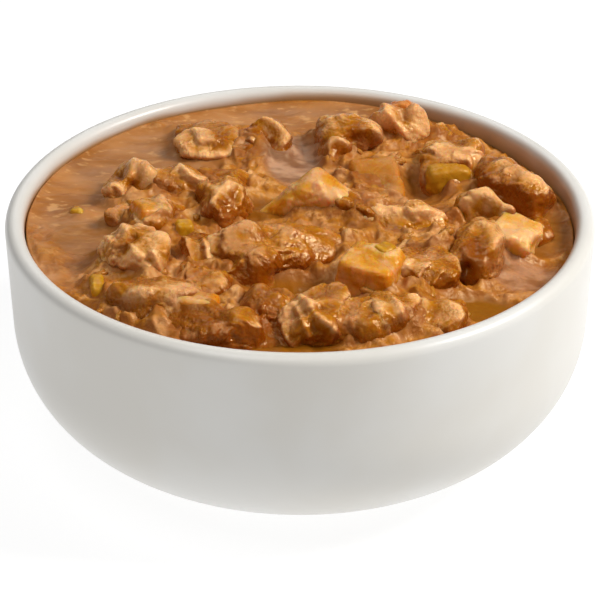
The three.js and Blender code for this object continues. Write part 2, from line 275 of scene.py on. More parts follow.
@dataclass(frozen=True)
class Stroke:
    """A ridge laid on a piece along a bent line, or a groove where its height is negative.

    reach: half width.  height: at the middle of the ridge.  line: one, two or three places on the
    seat's plane; three lie on one parabola's arc, and one alone is a knob or a dent.
    """

    reach: float
    height: float
    line: tuple[Place, ...]

    STEPS = 12
    FALL = 1.7  # how squarely the sides fall off

    def path(self) -> np.ndarray:
        """The line as points: a + t (b - a) for two, and the parabola through all three for three.

        Returns:
            An array of two or more points by 2.
        """
        places = np.array(self.line, float)
        if len(places) == 1:
            return np.repeat(places, 2, axis=0)
        share = np.linspace(0.0, 1.0, self.STEPS)[:, None]
        if len(places) == 2:
            return places[0] + share * (places[1] - places[0])
        first, middle, last = places
        pull = 2.0 * middle - 0.5 * (first + last)
        return (1 - share) ** 2 * first + 2 * share * (1 - share) * pull + share**2 * last

    def lift(self, seen: np.ndarray) -> np.ndarray:
        """Height of the stroke at places on the plane: height * exp(-(distance / reach)^fall).

        Args:
            seen: N by 2 array.

        Returns:
            N heights.
        """
        path = self.path()
        nearest = np.full(len(seen), np.inf)
        for start, end in zip(path[:-1], path[1:]):
            along = end - start
            share = np.clip((seen - start) @ along / max(float(along @ along), 1e-9), 0.0, 1.0)
            apart = seen - start - share[:, None] * along
            nearest = np.minimum(nearest, np.hypot(apart[:, 0], apart[:, 1]))
        return self.height * np.exp(-((nearest / self.reach) ** self.FALL))


# ------------------------------------------------------------------ sheets and meshes


@dataclass
class Sheet:
    """A square grid drawn onto the unit disc, its rim carried on by loops down to one closing point.

    The grid point (u, v) lies at radius max(|u|, |v|), and its angle runs evenly along each side of
    the square, so that the cells stay nearly even and the disc has no pole on its face.
    """

    cells: int

    def disc(self) -> tuple[np.ndarray, np.ndarray]:
        """Radius (0 to 1) and angle of every grid point, row by row.

        Returns:
            Two arrays of (cells + 1)^2 numbers.
        """
        side = np.linspace(-1.0, 1.0, self.cells + 1)
        u, v = np.meshgrid(side, side, indexing="xy")
        wide = np.abs(u) >= np.abs(v)
        with np.errstate(divide="ignore", invalid="ignore"):
            angle = np.where(wide, math.pi / 4 * v / u, math.pi / 2 - math.pi / 4 * u / v)
        radius = np.where(wide, u, v)
        angle = np.where(radius < 0, angle + math.pi, angle)
        return np.abs(radius).ravel(), np.nan_to_num(angle).ravel()

    def dome(self, reach: float) -> np.ndarray:
        """Unit directions: the disc's radius becomes the angle off the top, up to `reach` degrees.

        Args:
            reach: angle of the rim off the top.

        Returns:
            One vector for each grid point.
        """
        share, angle = self.disc()
        polar = share * math.radians(reach)
        across = np.sin(polar)
        return np.stack([across * np.cos(angle), across * np.sin(angle), np.cos(polar)], axis=1)

    def rim(self) -> np.ndarray:
        """Indices of the grid's outer points, anticlockwise.

        Returns:
            4 * cells indices.
        """
        n = self.cells
        index = np.arange((n + 1) ** 2).reshape(n + 1, n + 1)
        return np.concatenate([index[0, :-1], index[:-1, -1], index[-1, :0:-1], index[:0:-1, 0]])

    def normals(self, points: np.ndarray) -> np.ndarray:
        """Unit normals of the face at every grid point: the cross product of its two slopes.

        Args:
            points: the sheet's points, of which the grid's come first.

        Returns:
            One vector for each grid point.
        """
        grid = points[: (self.cells + 1) ** 2].reshape(self.cells + 1, self.cells + 1, 3)
        normal = np.cross(np.gradient(grid, axis=1), np.gradient(grid, axis=0)).reshape(-1, 3)
        return normal / np.clip(np.linalg.norm(normal, axis=1, keepdims=True), 1e-9, None)

    def faces(self, loops: int) -> list[np.ndarray]:
        """Quads of the face and of the loops below it, and the triangles to the closing point.

        Args:
            loops: number of loops carried on below the rim.

        Returns:
            Arrays of corner indices, all turned outwards.
        """
        n = self.cells
        index = np.arange((n + 1) ** 2).reshape(n + 1, n + 1)
        corners = [index[:-1, :-1], index[:-1, 1:], index[1:, 1:], index[1:, :-1]]
        made = [np.stack([c.ravel() for c in corners], axis=1)]
        upper = self.rim()
        start = (n + 1) ** 2
        for _ in range(loops):
            lower = start + np.arange(4 * n)
            made.append(np.stack([upper, lower, np.roll(lower, -1), np.roll(upper, -1)], axis=1))
            upper = lower
            start += 4 * n
        tip = np.full(4 * n, start)
        made.append(np.stack([upper, tip, np.roll(upper, -1)], axis=1))
        return made


def make_piece(
    name: str,
    points: np.ndarray,
    faces: list[np.ndarray],
    material: bpy.types.Material,
    marks: dict[str, np.ndarray] | None = None,
) -> bpy.types.Object:
    """A smooth-shaded mesh object at the origin.

    Args:
        name: the piece's name.
        points: N by 3 array in millimetres.
        faces: arrays of corner indices, one array for each number of corners.
        material: its finish.
        marks: values kept on the points, by attribute name.

    Returns:
        The new object, linked to the scene.
    """
    mesh = bpy.data.meshes.new(name)
    mesh.from_pydata((points * METRE).tolist(), [], [f for part in faces for f in part.tolist()])
    for key, values in (marks or {}).items():
        mesh.attributes.new(key, "FLOAT", "POINT").data.foreach_set("value", values.astype(np.float32))
    mesh.materials.append(material)
    mesh.shade_smooth()
    mesh.update()
    piece = bpy.data.objects.new(name, mesh)
    bpy.context.scene.collection.objects.link(piece)
    LOG.info("%s: %d points", name, len(points))
    return piece


def lathe(profile: np.ndarray, segments: int) -> tuple[np.ndarray, list[np.ndarray]]:
    """A profile turned about the Z axis.

    Point (i, j) = (radius_i cos angle_j, radius_i sin angle_j, height_i).  The profile's two ends lie
    on the axis and become one point each.

    Args:
        profile: M by 2 array of radius and height, from the underside's centre round to the inside's.
        segments: steps round the axis.

    Returns:
        The points and the arrays of faces.
    """
    angle = np.linspace(0.0, 2.0 * math.pi, segments, endpoint=False)
    radius, height = profile[1:-1, 0:1], profile[1:-1, 1:2]
    body = np.stack([radius * np.cos(angle), radius * np.sin(angle), height + 0.0 * angle], axis=2)
    ends = np.array([[0.0, 0.0, profile[0, 1]], [0.0, 0.0, profile[-1, 1]]])
    rows = len(radius)
    index = np.arange(rows * segments).reshape(rows, segments)
    after = np.roll(index, -1, axis=1)
    quads = [index[:-1], after[:-1], after[1:], index[1:]]
    first = np.full(segments, rows * segments)
    fans = [
        np.stack([first, after[0], index[0]], axis=1),
        np.stack([first + 1, index[-1], after[-1]], axis=1),
    ]
    points = np.concatenate([body.reshape(-1, 3), ends])
    return points, [np.stack([q.ravel() for q in quads], axis=1), *fans]


# ------------------------------------------------------------------ finishes


class Graph:
    """The shader nodes of one material, over a Principled shader, with short ways to add more."""

    MIX_INPUTS = (0, 6, 7)  # sockets of a mix's factor and its two colours
    MIX_RESULT = 2

    def __init__(self, name: str) -> None:
        """Starts a material of that name with its shader and output.

        Args:
            name: of the material.
        """
        self.material = bpy.data.materials.new(name)
        self.material.use_nodes = True
        self.tree = self.material.node_tree
        self.tree.nodes.clear()
        self.shader = self.node("ShaderNodeBsdfPrincipled")
        output = self.node("ShaderNodeOutputMaterial")
        self.tree.links.new(self.shader.outputs["BSDF"], output.inputs["Surface"])
        self.place = self.node("ShaderNodeTexCoord").outputs["Object"]

    def node(self, kind: str, **settings: object) -> bpy.types.Node:
        """A new node of a kind, with its settings.

        Args:
            kind: the node's type.
            settings: its attributes by name.

        Returns:
            The node.
        """
        made = self.tree.nodes.new(kind)
        for key, value in settings.items():
            setattr(made, key, value)
        return made

    def feed(self, socket: bpy.types.NodeSocket, value: object) -> None:
        """Links `value` to the socket if it is a socket, and sets it there if it isn't.

        Args:
            socket: the input.
            value: another node's output, a colour or a number.
        """
        if isinstance(value, bpy.types.NodeSocket):
            self.tree.links.new(value, socket)
        elif socket.type == "RGBA":
            socket.default_value = (*value, 1.0)
        else:
            socket.default_value = value

    def set(self, **values: object) -> None:
        """Sets or links the shader's inputs; an underscore in a name stands for a space."""
        for key, value in values.items():
            self.feed(self.shader.inputs[key.replace("_", " ")], value)

    def mark(self, name: str) -> bpy.types.NodeSocket:
        """A value kept on the mesh's points."""
        return self.node("ShaderNodeAttribute", attribute_name=name).outputs["Fac"]

    def noise(self, pattern: "Pattern") -> bpy.types.NodeSocket:
        """A pattern's noise before it is carried to its range, about 0.5 on average.

        Args:
            pattern: gives wavelength, detail, stretch and shift.

        Returns:
            The factor's socket.
        """
        mapping = self.node("ShaderNodeMapping")
        self.feed(mapping.inputs["Vector"], self.place)
        mapping.inputs["Location"].default_value = (pattern.shift,) * 3
        mapping.inputs["Scale"].default_value = (1.0 / pattern.stretch, 1.0, 1.0)
        texture = self.node("ShaderNodeTexNoise")
        self.feed(texture.inputs["Vector"], mapping.outputs["Vector"])
        texture.inputs["Scale"].default_value = 1.0 / (pattern.length * METRE)
        texture.inputs["Detail"].default_value = pattern.detail
        return texture.outputs["Fac"]

    def lay(self, pattern: "Pattern") -> bpy.types.NodeSocket:
        """A pattern carried to its range."""
        return self.span(self.noise(pattern), pattern.cut, pattern.to)

    def ramp(self, factor: bpy.types.NodeSocket, stops: dict[float, Colour]) -> bpy.types.NodeSocket:
        """A colour read off a ramp of place to colour.

        Args:
            factor: where the ramp is read.
            stops: colours by their place from 0 to 1.

        Returns:
            The colour's socket.
        """
        made = self.node("ShaderNodeValToRGB")
        self.feed(made.inputs["Fac"], factor)
        elements = made.color_ramp.elements
        while len(elements) < len(stops):
            elements.new(0.5)
        for element, (place, colour) in zip(elements, sorted(stops.items())):
            element.position = place
            element.color = (*colour, 1.0)
        return made.outputs["Color"]

    def span(self, value: bpy.types.NodeSocket, old: Span, new: Span) -> bpy.types.NodeSocket:
        """A value carried smoothly from one range to another and held inside it.

        Args:
            value: the value.
            old: the range it is cut to.
            new: the range it is carried to.

        Returns:
            The result's socket.
        """
        made = self.node("ShaderNodeMapRange", interpolation_type="SMOOTHSTEP")
        for key, number in zip(("From Min", "From Max", "To Min", "To Max"), (*old, *new)):
            made.inputs[key].default_value = number
        self.feed(made.inputs["Value"], value)
        return made.outputs["Result"]

    def mix(self, factor: object, first: object, second: object) -> bpy.types.NodeSocket:
        """Two colours mixed by a factor.

        Args:
            factor: share of the second.
            first: a colour or a socket.
            second: another.

        Returns:
            The colour's socket.
        """
        made = self.node("ShaderNodeMix", data_type="RGBA")
        for socket, value in zip(self.MIX_INPUTS, (factor, first, second)):
            self.feed(made.inputs[socket], value)
        return made.outputs[self.MIX_RESULT]

    def join(self, first: object, second: object, how: str = "ADD") -> bpy.types.NodeSocket:
        """Two numbers joined by one operation.

        Args:
            first: a number or a socket.
            second: another.
            how: the operation.

        Returns:
            The result's socket.
        """
        made = self.node("ShaderNodeMath", operation=how)
        self.feed(made.inputs[0], first)
        self.feed(made.inputs[1], second)
        return made.outputs[0]

    def bump(self, height: bpy.types.NodeSocket, depth: float, strength: float) -> None:
        """Makes the surface uneven by a height; `depth` is its full height in millimetres.

        Args:
            height: the socket of a height from 0 to 1.
            depth: its full height.
            strength: share of it that shows.
        """
        made = self.node("ShaderNodeBump")
        made.inputs["Strength"].default_value = strength
        made.inputs["Distance"].default_value = depth * METRE
        self.feed(made.inputs["Height"], height)
        self.tree.links.new(made.outputs["Normal"], self.shader.inputs["Normal"])


@dataclass(frozen=True)
class Pattern:
    """Noise over a surface, cut to a range of its values that is then carried to another range.

    length: wavelength in millimetres.  detail: octaves of finer noise.  stretch: how many times
    longer it is along X.  shift: offset in metres, which gives another pattern of the same kind.
    """

    length: float
    detail: float = 3.0
    cut: Span = (0.3, 0.7)
    to: Span = (0.0, 1.0)
    stretch: float = 1.0
    shift: float = 0.0


@dataclass(frozen=True)
class Glaze:
    """White glaze over stoneware, with a brown sauce stain on the inside just over the filling, which is
    partly painted shade and reflection of the curry.
    """

    name: str = "white_glaze"
    base: Colour = (0.69, 0.68, 0.65)
    warm: Colour = (0.66, 0.64, 0.595)
    # brown sauce stain on the inside, which also paints the wall's shade and its reflection of the curry
    stain_and_shade: Colour = (0.41, 0.195, 0.048)
    gloss: float = 0.4
    clouds: Pattern = Pattern(38.0, cut=(0.35, 0.65))
    sheen: Pattern = Pattern(30.0, 2.0, to=(0.30, 0.36), shift=0.4)
    waves: Pattern = Pattern(22.0, 1.0, shift=0.9)
    wave_depth: float = 0.03
    wave_strength: float = 0.05

    def material(self) -> bpy.types.Material:
        """Cloudy off-white, faint waves in the glaze, and the brown stain where it is marked, partly painted
        shade and reflection.

        Returns:
            The material.
        """
        graph = Graph(self.name)
        clean = graph.mix(graph.lay(self.clouds), self.base, self.warm)
        graph.set(Base_Color=graph.mix(graph.mark("stain_and_shade"), clean, self.stain_and_shade))
        graph.set(Roughness=graph.lay(self.sheen), Specular_IOR_Level=self.gloss)
        graph.bump(graph.noise(self.waves), self.wave_depth, self.wave_strength)
        return graph.material


@dataclass(frozen=True)
class Wet:
    """Food coated in thin sauce: colours by relief, with painted shade in its hollows and on its sides and
    painted light on its ridges, under a wet shine.
    """

    name: str
    hollow: Colour  # painted shade: colour of the relief's hollows
    face: Colour
    # painted light: colour of the relief's ridges
    ridge: Colour
    painted_shade: Colour  # painted shade: colour of the sides, the gaps between pieces and the grooves
    cream: Colour  # patches of thick pale sauce on what faces up
    glow: float = 0.6
    reach: Triple = (1.7, 0.75, 0.25)
    shine: Span = (0.26, 0.50)  # least and greatest roughness
    grain: float = 0.9
    depth: float = 0.17
    patches: float = 7.0  # wavelength of the cream
    gloss: float = 0.52
    rough: Pattern = Pattern(5.0, 2.0, cut=(0.42, 0.62), to=(0.3, 1.0), shift=2.1)
    speck_cut: Span = (0.0, 0.8)
    specks: Span = (-0.10, 0.14)  # how far the grain shifts the colour along the ramp, which paints shade in its pits and light on its crests

    def curd(self, graph: Graph) -> bpy.types.NodeSocket:
        """Fine wet grain, strong in patches: 0 in its pits and up to 1 on its crests.

        Args:
            graph: the material's nodes.

        Returns:
            The socket of the grain.
        """
        rough = graph.lay(self.rough)
        grain = graph.lay(Pattern(self.grain, shift=1.3))
        return graph.join(grain, rough, "MULTIPLY")

    def colour(self, graph: Graph) -> bpy.types.NodeSocket:
        """Ramp over the relief and the grain, which paints shade in the hollows and light on the ridges,
        cream in patches, and the painted shade on sides, in gaps and in grooves.

        Args:
            graph: the material's nodes.

        Returns:
            The colour's socket.
        """
        # the ramp paints shade in the hollows and light on the ridges
        stops = {0.0: self.hollow, 0.5: self.face, 1.0: self.ridge}
        speck = graph.span(self.curd(graph), self.speck_cut, self.specks)
        plain = graph.ramp(graph.join(graph.mark("relief"), speck), stops)
        patch = graph.lay(Pattern(self.patches, cut=(0.50, 0.66), to=(0.0, 0.75), shift=0.3))
        creamy = graph.mix(patch, plain, self.cream)
        return graph.mix(graph.mark("painted_shade"), creamy, self.painted_shade)

    def material(self) -> bpy.types.Material:
        """The colour above, sauce at the waterline, light scattered under it and fine wet grain.

        Returns:
            The material.
        """
        graph = Graph(self.name)
        graph.set(Base_Color=graph.mix(graph.mark("sauce"), self.colour(graph), SAUCE_BROWN))
        graph.set(Roughness=graph.lay(Pattern(1.8, to=self.shine, shift=0.7)))
        graph.set(Subsurface_Weight=self.glow, Subsurface_Radius=self.reach, Subsurface_Scale=METRE)
        graph.set(Specular_IOR_Level=self.gloss, Specular_Tint=PEACH)
        graph.bump(self.curd(graph), self.depth, 1.0)
        return graph.material


@dataclass(frozen=True)
class Gravy:
    """The curry sauce: creamy brown, streaked and flecked, wet; full of meat where `thick` is marked."""

    name: str = "curry_sauce"
    thick: Colour = (0.46, 0.194, 0.058)
    thin: Colour = (0.33, 0.115, 0.020)
    # painted shade and dull reflection: greyish patches at random places
    dull_shade_and_sheen: Colour = (0.25, 0.108, 0.050)
    fleck: Colour = (0.64, 0.33, 0.120)
    clear: Colour = (0.24, 0.082, 0.004)  # painted shade: thin sauce darkened where it lies in shade
    # froth colours: pale foam, partly painted sheen and highlight, over dark murk, partly painted shade
    foam: Colour = (0.50, 0.28, 0.165)
    murk: Colour = (0.20, 0.088, 0.042)
    glow: float = 0.15
    reach: Triple = (2.6, 1.1, 0.4)
    gloss_cut: Span = (0.2, 1.0)  # how thin the sauce is where its gloss falls off
    gloss: Span = (0.45, 0.12)  # of full sauce and of thin
    streaks: Pattern = Pattern(7.0, 4.0, cut=(0.36, 0.62), stretch=2.6)
    dulling: Pattern = Pattern(17.0, cut=(0.55, 0.70), to=(0.0, 0.6), stretch=1.8, shift=1.7)
    flecks: Pattern = Pattern(1.9, cut=(0.56, 0.70), to=(0.0, 0.7), stretch=2.0, shift=0.5)
    bubbles: Pattern = Pattern(4.0, 4.0, cut=(0.38, 0.6), stretch=2.0, shift=2.9)
    sheen: Pattern = Pattern(5.0, to=(0.32, 0.50), shift=0.2)
    ripples: Pattern = Pattern(1.3, 4.0, stretch=1.6, shift=0.8)
    ripple_share: float = 0.5
    depth: float = 0.16

    def colour(self, graph: Graph) -> bpy.types.NodeSocket:
        """Streaks along X between a thick and a thin colour, greyish patches of painted shade and reflection,
        light flecks, foam with painted sheen, and painted shade where pools are marked thin.

        Args:
            graph: the material's nodes.

        Returns:
            The colour's socket.
        """
        body = graph.mix(graph.lay(self.streaks), self.thin, self.thick)
        dulled = graph.mix(graph.lay(self.dulling), body, self.dull_shade_and_sheen)
        flecked = graph.mix(graph.lay(self.flecks), dulled, self.fleck)
        foam = graph.mix(graph.lay(self.bubbles), self.murk, self.foam)
        frothy = graph.mix(graph.mark("froth_and_sheen"), flecked, foam)
        # painted shade: sauce marked thin takes the dark clear colour
        open_sauce = graph.mix(graph.mark("thin"), frothy, self.clear)
        return graph.mix(graph.mark("thick"), open_sauce, MEAT.colour(graph))

    def material(self) -> bpy.types.Material:
        """The colour above under a slow sheen, with ripples, and the meat's grain where it is thick.

        Returns:
            The material.
        """
        graph = Graph(self.name)
        graph.set(Base_Color=self.colour(graph), Roughness=graph.lay(self.sheen))
        graph.set(Subsurface_Weight=self.glow, Subsurface_Radius=self.reach, Subsurface_Scale=METRE)
        gloss = graph.span(graph.mark("thin"), self.gloss_cut, self.gloss)
        graph.set(Specular_IOR_Level=gloss, Specular_Tint=PEACH)
        ripple = graph.join(graph.noise(self.ripples), self.ripple_share, "MULTIPLY")
        grain = graph.join(MEAT.curd(graph), graph.mark("thick"), "MULTIPLY")
        graph.bump(graph.join(ripple, grain), self.depth, 1.0)
        return graph.material


SAUCE_BROWN: Colour = (0.40, 0.150, 0.016)  # of the sauce that stands on the pieces
PEACH: Colour = (1.0, 0.76, 0.44)  # of the shine on oily sauce
MEAT = Wet(
    "coated_chicken",
    hollow=(0.28, 0.073, 0.001),
    face=(0.475, 0.170, 0.004),
    ridge=(0.88, 0.49, 0.200),
    painted_shade=(0.26, 0.057, 0.001),
    cream=(0.61, 0.280, 0.100),
    shine=(0.13, 0.36),
)
CUBES = Wet(
    "soft_potato",
    hollow=(0.54, 0.185, 0.004),
    face=(0.65, 0.285, 0.020),
    ridge=(0.85, 0.49, 0.200),
    painted_shade=(0.60, 0.165, 0.001),
    cream=(0.71, 0.39, 0.180),
    glow=0.6,
    reach=(4.5, 1.5, 0.25),
    shine=(0.20, 0.40),
    grain=1.3,
    depth=0.12,
)
GREENS = Wet(
    "yellow_pepper",
    hollow=(0.46, 0.20, 0.005),
    face=(0.56, 0.27, 0.010),
    ridge=(0.68, 0.40, 0.05),
    painted_shade=(0.46, 0.20, 0.004),
    cream=(0.50, 0.22, 0.030),
    patches=3.0,
    glow=0.25,
    reach=(2.5, 1.2, 0.3),
    shine=(0.24, 0.40),
    grain=1.4,
    depth=0.10,
)
ROOT = Wet(
    "soft_carrot",
    hollow=(0.46, 0.10, 0.006),
    face=(0.64, 0.20, 0.015),
    ridge=(0.74, 0.30, 0.05),
    painted_shade=(0.50, 0.12, 0.006),
    cream=(0.62, 0.24, 0.060),
    glow=0.3,
    shine=(0.24, 0.38),
)


# ------------------------------------------------------------------ the bowl


@dataclass
class Bowl:
    """The bowl: straight upper wall, superellipse belly, low foot ring, round lip."""

    height: float = 62.0
    rim_radius: float = 75.0
    wall_radius: float = 74.4
    wall: float = 4.8
    belly_top: float = 36.0
    foot_radius: float = 36.0
    foot_inner: float = 31.0
    foot_height: float = 1.8
    foot_bevel: float = 0.9
    base_thickness: float = 5.6
    belly_power: float = 2.15
    segments: int = 256
    film_side: float = 25.0  # degrees round from +X to where the stain reaches highest: the right and back of the wall, in shade, where it is mostly painted shade and reflection
    film_turn: Span = (0.1, 0.9)  # cosine of the angle from there over which it fades
    film_reach: Span = (0.8, 7.0)
    film_thin: float = 0.35  # least reach
    film_waver: float = 0.5
    film_waver_length: float = 9.0
    film_seed: int = 11
    film_fall: float = 1.4  # how squarely it fades upwards
    film_least: float = 0.11  # share of the film that is left all over the inside
    film_inset: float = 0.2  # how far over the hollow's radius it begins to end
    curve_steps: int = 40
    lip_steps: int = 17
    ease: Place = (0.3, 0.35)  # shares of bevel and foot height that round the foot's corners

    @property
    def inner_radius(self) -> float:
        """Radius of the hollow at the belly's top; the wall over it leans out a little to the lip."""
        return self.wall_radius - self.wall

    @property
    def floor(self) -> float:
        """Height of the inside's lowest point."""
        return self.foot_height + self.base_thickness

    def belly(self, centre: float, reach: float, depth: float, steps: int) -> np.ndarray:
        """Quarter of a superellipse, from the base out to the wall.

        radius = centre + reach * sin(a)^(2/power), height = belly top - depth * cos(a)^(2/power),
        for a from 0 to 90 degrees.

        Args:
            centre: radius where it leaves the flat base.
            reach: how far out it goes.
            depth: how far it rises.
            steps: points along it, less one.

        Returns:
            Radius and height, row by row.
        """
        angle = np.linspace(0.0, math.pi / 2, steps + 1)
        power = 2.0 / self.belly_power
        radius = centre + reach * np.sin(angle) ** power
        height = self.belly_top - depth * np.clip(np.cos(angle), 0.0, 1.0) ** power
        return np.stack([radius, height], axis=1)

    def hollow_radius(self, height: np.ndarray) -> np.ndarray:
        """Radius of the hollow at each height: the same superellipse, solved for the radius.

        The wall over the belly counts as upright.

        Args:
            height: N heights.

        Returns:
            N radii.
        """
        flat = self.foot_radius - self.base_thickness
        depth = self.belly_top - self.floor
        below = np.clip((self.belly_top - height) / depth, 0.0, 1.0)
        share = (1.0 - below**self.belly_power) ** (1 / self.belly_power)
        return flat + (self.inner_radius - flat) * share

    def profile(self) -> np.ndarray:
        """The outline from the underside's centre, round foot, belly and lip, to the inside's centre.

        Returns:
            Radius and height, row by row.
        """
        foot, inner = self.foot_radius, self.foot_inner
        flat = foot - self.base_thickness
        inset, raised = self.ease[0] * self.foot_bevel, self.ease[1] * self.foot_height
        ring = [
            [0.0, self.foot_height],
            [inner / 2, self.foot_height],
            [inner - self.foot_bevel, self.foot_height],
            [inner - inset, raised],
            [inner, 0.0],
            [foot - self.foot_bevel, 0.0],
            [foot - inset, raised],
        ]
        radius = self.wall / 2
        turn = np.linspace(0.0, math.pi, self.lip_steps)
        middle = np.array([self.rim_radius - radius, self.height - radius])
        lip = middle + radius * np.stack([np.cos(turn), np.sin(turn)], axis=1)
        steps = self.curve_steps
        outside = self.belly(foot, self.wall_radius - foot, self.belly_top - self.foot_height, steps)
        inside = self.belly(flat, self.inner_radius - flat, self.belly_top - self.floor, steps)
        rise = np.linspace(0.0, 1.0, steps)[1:-1, None]
        outer_wall = outside[-1] + rise[::3] * (lip[0] - outside[-1])
        inner_wall = lip[-1] + rise * (inside[-1] - lip[-1])
        return np.concatenate([ring, outside, outer_wall, lip, inner_wall, inside[::-1], [[0.0, self.floor]]])

    def build(self, sauce: "Sauce") -> bpy.types.Object:
        """Turns the profile and marks the sauce stain on the wall, partly painted shade and reflection.

        The stain is exp(-(height over the sauce / reach)^fall).  The reach grows to the right and back, where
        the sauce has sunk most and the wall is in shade and reflects the curry, so the brown there is mostly
        painted shade and reflection; it wavers with a slow noise.  The stain ends over the lip.

        Args:
            sauce: the filling, for its level.

        Returns:
            The bowl, standing for its CAD node.
        """
        points, faces = lathe(self.profile(), self.segments)
        x, y, z = points.T
        inner = self.inner_radius
        inside = 1.0 - smooth_step(np.hypot(x, y), inner + self.film_inset, inner + self.wall / 2)
        sunk = smooth_step(np.cos(np.arctan2(y, x) - math.radians(self.film_side)), *self.film_turn)
        low, high = self.film_reach
        waver = 1.0 + self.film_waver * GradientNoise(self.film_seed).at(points, self.film_waver_length)
        reach = np.clip((low + (high - low) * sunk) * waver, self.film_thin, None)
        over = np.clip(z - sauce.level_at(x, y), 0.0, None)
        # stain and painted shade and reflection: brown that fades up the wall from the sauce
        stain_and_shade = np.maximum(np.exp(-((over / reach) ** self.film_fall)), self.film_least)
        stain_and_shade = np.where(z > self.belly_top, inside * stain_and_shade, 0.0)
        piece = make_piece("bowl_glazed", points, faces, Glaze().material(), {"stain_and_shade": np.clip(stain_and_shade, 0, 1)})
        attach(piece, "root")
        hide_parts("bowl")
        return piece


# ------------------------------------------------------------------ the pieces of food


class Kind(Enum):
    """What a piece is, by its record slot."""

    CHICKEN = "chicken"
    POTATO = "potato"
    PEPPER = "pepper"
    CARROT = "carrot"

    @property
    def finish(self) -> Wet:
        """The finish of this kind."""
        return {"chicken": MEAT, "potato": CUBES, "pepper": GREENS, "carrot": ROOT}[self.value]


class Layer(float, Enum):
    """How far each layer's noise is shifted, so that no two are alike."""

    CRAG = 5.0
    KNOB = 11.0
    FIBRE = 19.0
    TORN = 23.0
    COAT = 41.0
    HUMP = 53.0
    PATCH = 61.0
    SAUCE = 71.0


@dataclass(frozen=True)
class Relief:
    """How a surface is worked; heights and wavelengths in millimetres."""

    lump: float = 0.7  # slow swelling
    lump_length: float = 8.0
    hump: float = 2.2  # soft round curds
    hump_length: float = 7.5
    crag: float = 1.3  # torn ridges
    crag_length: float = 12.0
    crag_gain: float = 0.36  # height of each finer set of ridges against the last
    coat: float = 0.30  # share of the crags' height up to which sauce has filled the hollows
    torn: float = 0.3  # ragged shreds, in patches
    torn_length: float = 5.2
    knob: float = 0.6  # small round lumps, in the same patches
    knob_length: float = 3.0
    fibre: float = 0.34  # muscle fibres along the piece, in other patches
    fibre_length: float = 1.1
    grain: float = 0.07  # fine curdled grain
    grain_length: float = 1.3
    bridge: float = 1.3  # how far the coat swells where two pieces touch
    spacing: float = 0.33  # between the points of the mesh

    WARP = (9.0, 2.6)  # wavelength and reach of the push that bends the layers
    OCTAVES = 3
    PATCH = (-0.45, 0.25)  # values of a noise between which a patch of shreds begins
    PATCH_LENGTH = 9.0
    CRAG_MEAN = 0.7  # of each layer, taken off so that it neither swells nor shrinks the piece
    TORN_MEAN = 0.4
    HUMP_MEAN = 0.35
    KNOB_MEAN = 0.3
    KNOB_ROUND = 0.01
    TORN_GAIN = 0.45
    HUMP_GAIN = 0.38
    COAT_WAVER = 0.12
    COAT_LENGTH = 5.0
    BLEND = 0.2  # over what height the coat rounds into the crags
    STRAND = 7.0  # how many times longer than wide a fibre is
    STRAND_PATCH = (-0.15, 0.3)
    STRAND_PATCH_LENGTH = 8.0
    GRAIN_LEAST = 0.4

    def patches(self, noise: GradientNoise, points: np.ndarray) -> np.ndarray:
        """1 where the surface is ragged and 0 where it is smooth."""
        return smooth_step(noise.at(points + Layer.PATCH, self.PATCH_LENGTH), *self.PATCH)

    def crags(self, noise: GradientNoise, bent: np.ndarray, points: np.ndarray) -> np.ndarray:
        """Torn ridges whose hollows are filled up to the coat, whose height wavers.

        Args:
            noise: the noise that all pieces share.
            bent: the points, pushed about by it.
            points: the points where they lie.

        Returns:
            N heights.
        """
        crag = self.crag * noise.crag(bent + Layer.CRAG, self.crag_length, self.OCTAVES, self.crag_gain)
        waver = self.COAT_WAVER * noise.at(points + Layer.COAT, self.COAT_LENGTH)
        return soft_maximum(crag, self.crag * (self.coat + waver), self.BLEND) - self.CRAG_MEAN * self.crag

    def curds(self, noise: GradientNoise, bent: np.ndarray) -> np.ndarray:
        """Soft round curds of height 1, level on average."""
        humps = noise.humps(bent + Layer.HUMP, self.hump_length, self.OCTAVES, self.HUMP_GAIN)
        return humps - self.HUMP_MEAN

    def rags(self, noise: GradientNoise, bent: np.ndarray, patch: np.ndarray) -> np.ndarray:
        """Shreds and small round lumps in the ragged patches.

        Args:
            noise: the noise that all pieces share.
            bent: the points, pushed about by it.
            patch: how ragged the surface is at each.

        Returns:
            N heights.
        """
        torn = noise.crag(bent + Layer.TORN, self.torn_length, self.OCTAVES, self.TORN_GAIN)
        knob = np.sqrt(noise.at(bent + Layer.KNOB, self.knob_length) ** 2 + self.KNOB_ROUND)
        return patch * (self.torn * (torn - self.TORN_MEAN) + self.knob * (knob - self.KNOB_MEAN))

    def fibres(self, noise: GradientNoise, own: np.ndarray) -> np.ndarray:
        """Muscle fibres along X of the piece's own frame, in patches.

        Args:
            noise: the noise that all pieces share.
            own: points of the piece's own frame.

        Returns:
            N heights.
        """
        thick = self.fibre_length
        strands = noise.at(noise.warp(own, *self.WARP), (self.STRAND * thick, thick, thick))
        patch = smooth_step(noise.at(own + Layer.FIBRE, self.STRAND_PATCH_LENGTH), *self.STRAND_PATCH)
        return self.fibre * strands * patch


SOFT_BIT = Relief(
    lump=0.4,
    lump_length=4.0,
    hump=1.0,
    hump_length=3.4,
    crag=0.3,
    crag_length=4.0,
    torn=0.2,
    knob=0.1,
    fibre=0.0,
    grain=0.05,
    bridge=0.2,
)
RELIEFS = {
    Kind.CHICKEN: Relief(),
    Kind.POTATO: Relief(
        lump=0.6, hump=0.9, crag=0.5, crag_length=9.0, torn=0.3, knob=0.3, fibre=0.0, grain=0.07, bridge=0.6
    ),
    Kind.PEPPER: SOFT_BIT,
    Kind.CARROT: SOFT_BIT,
}


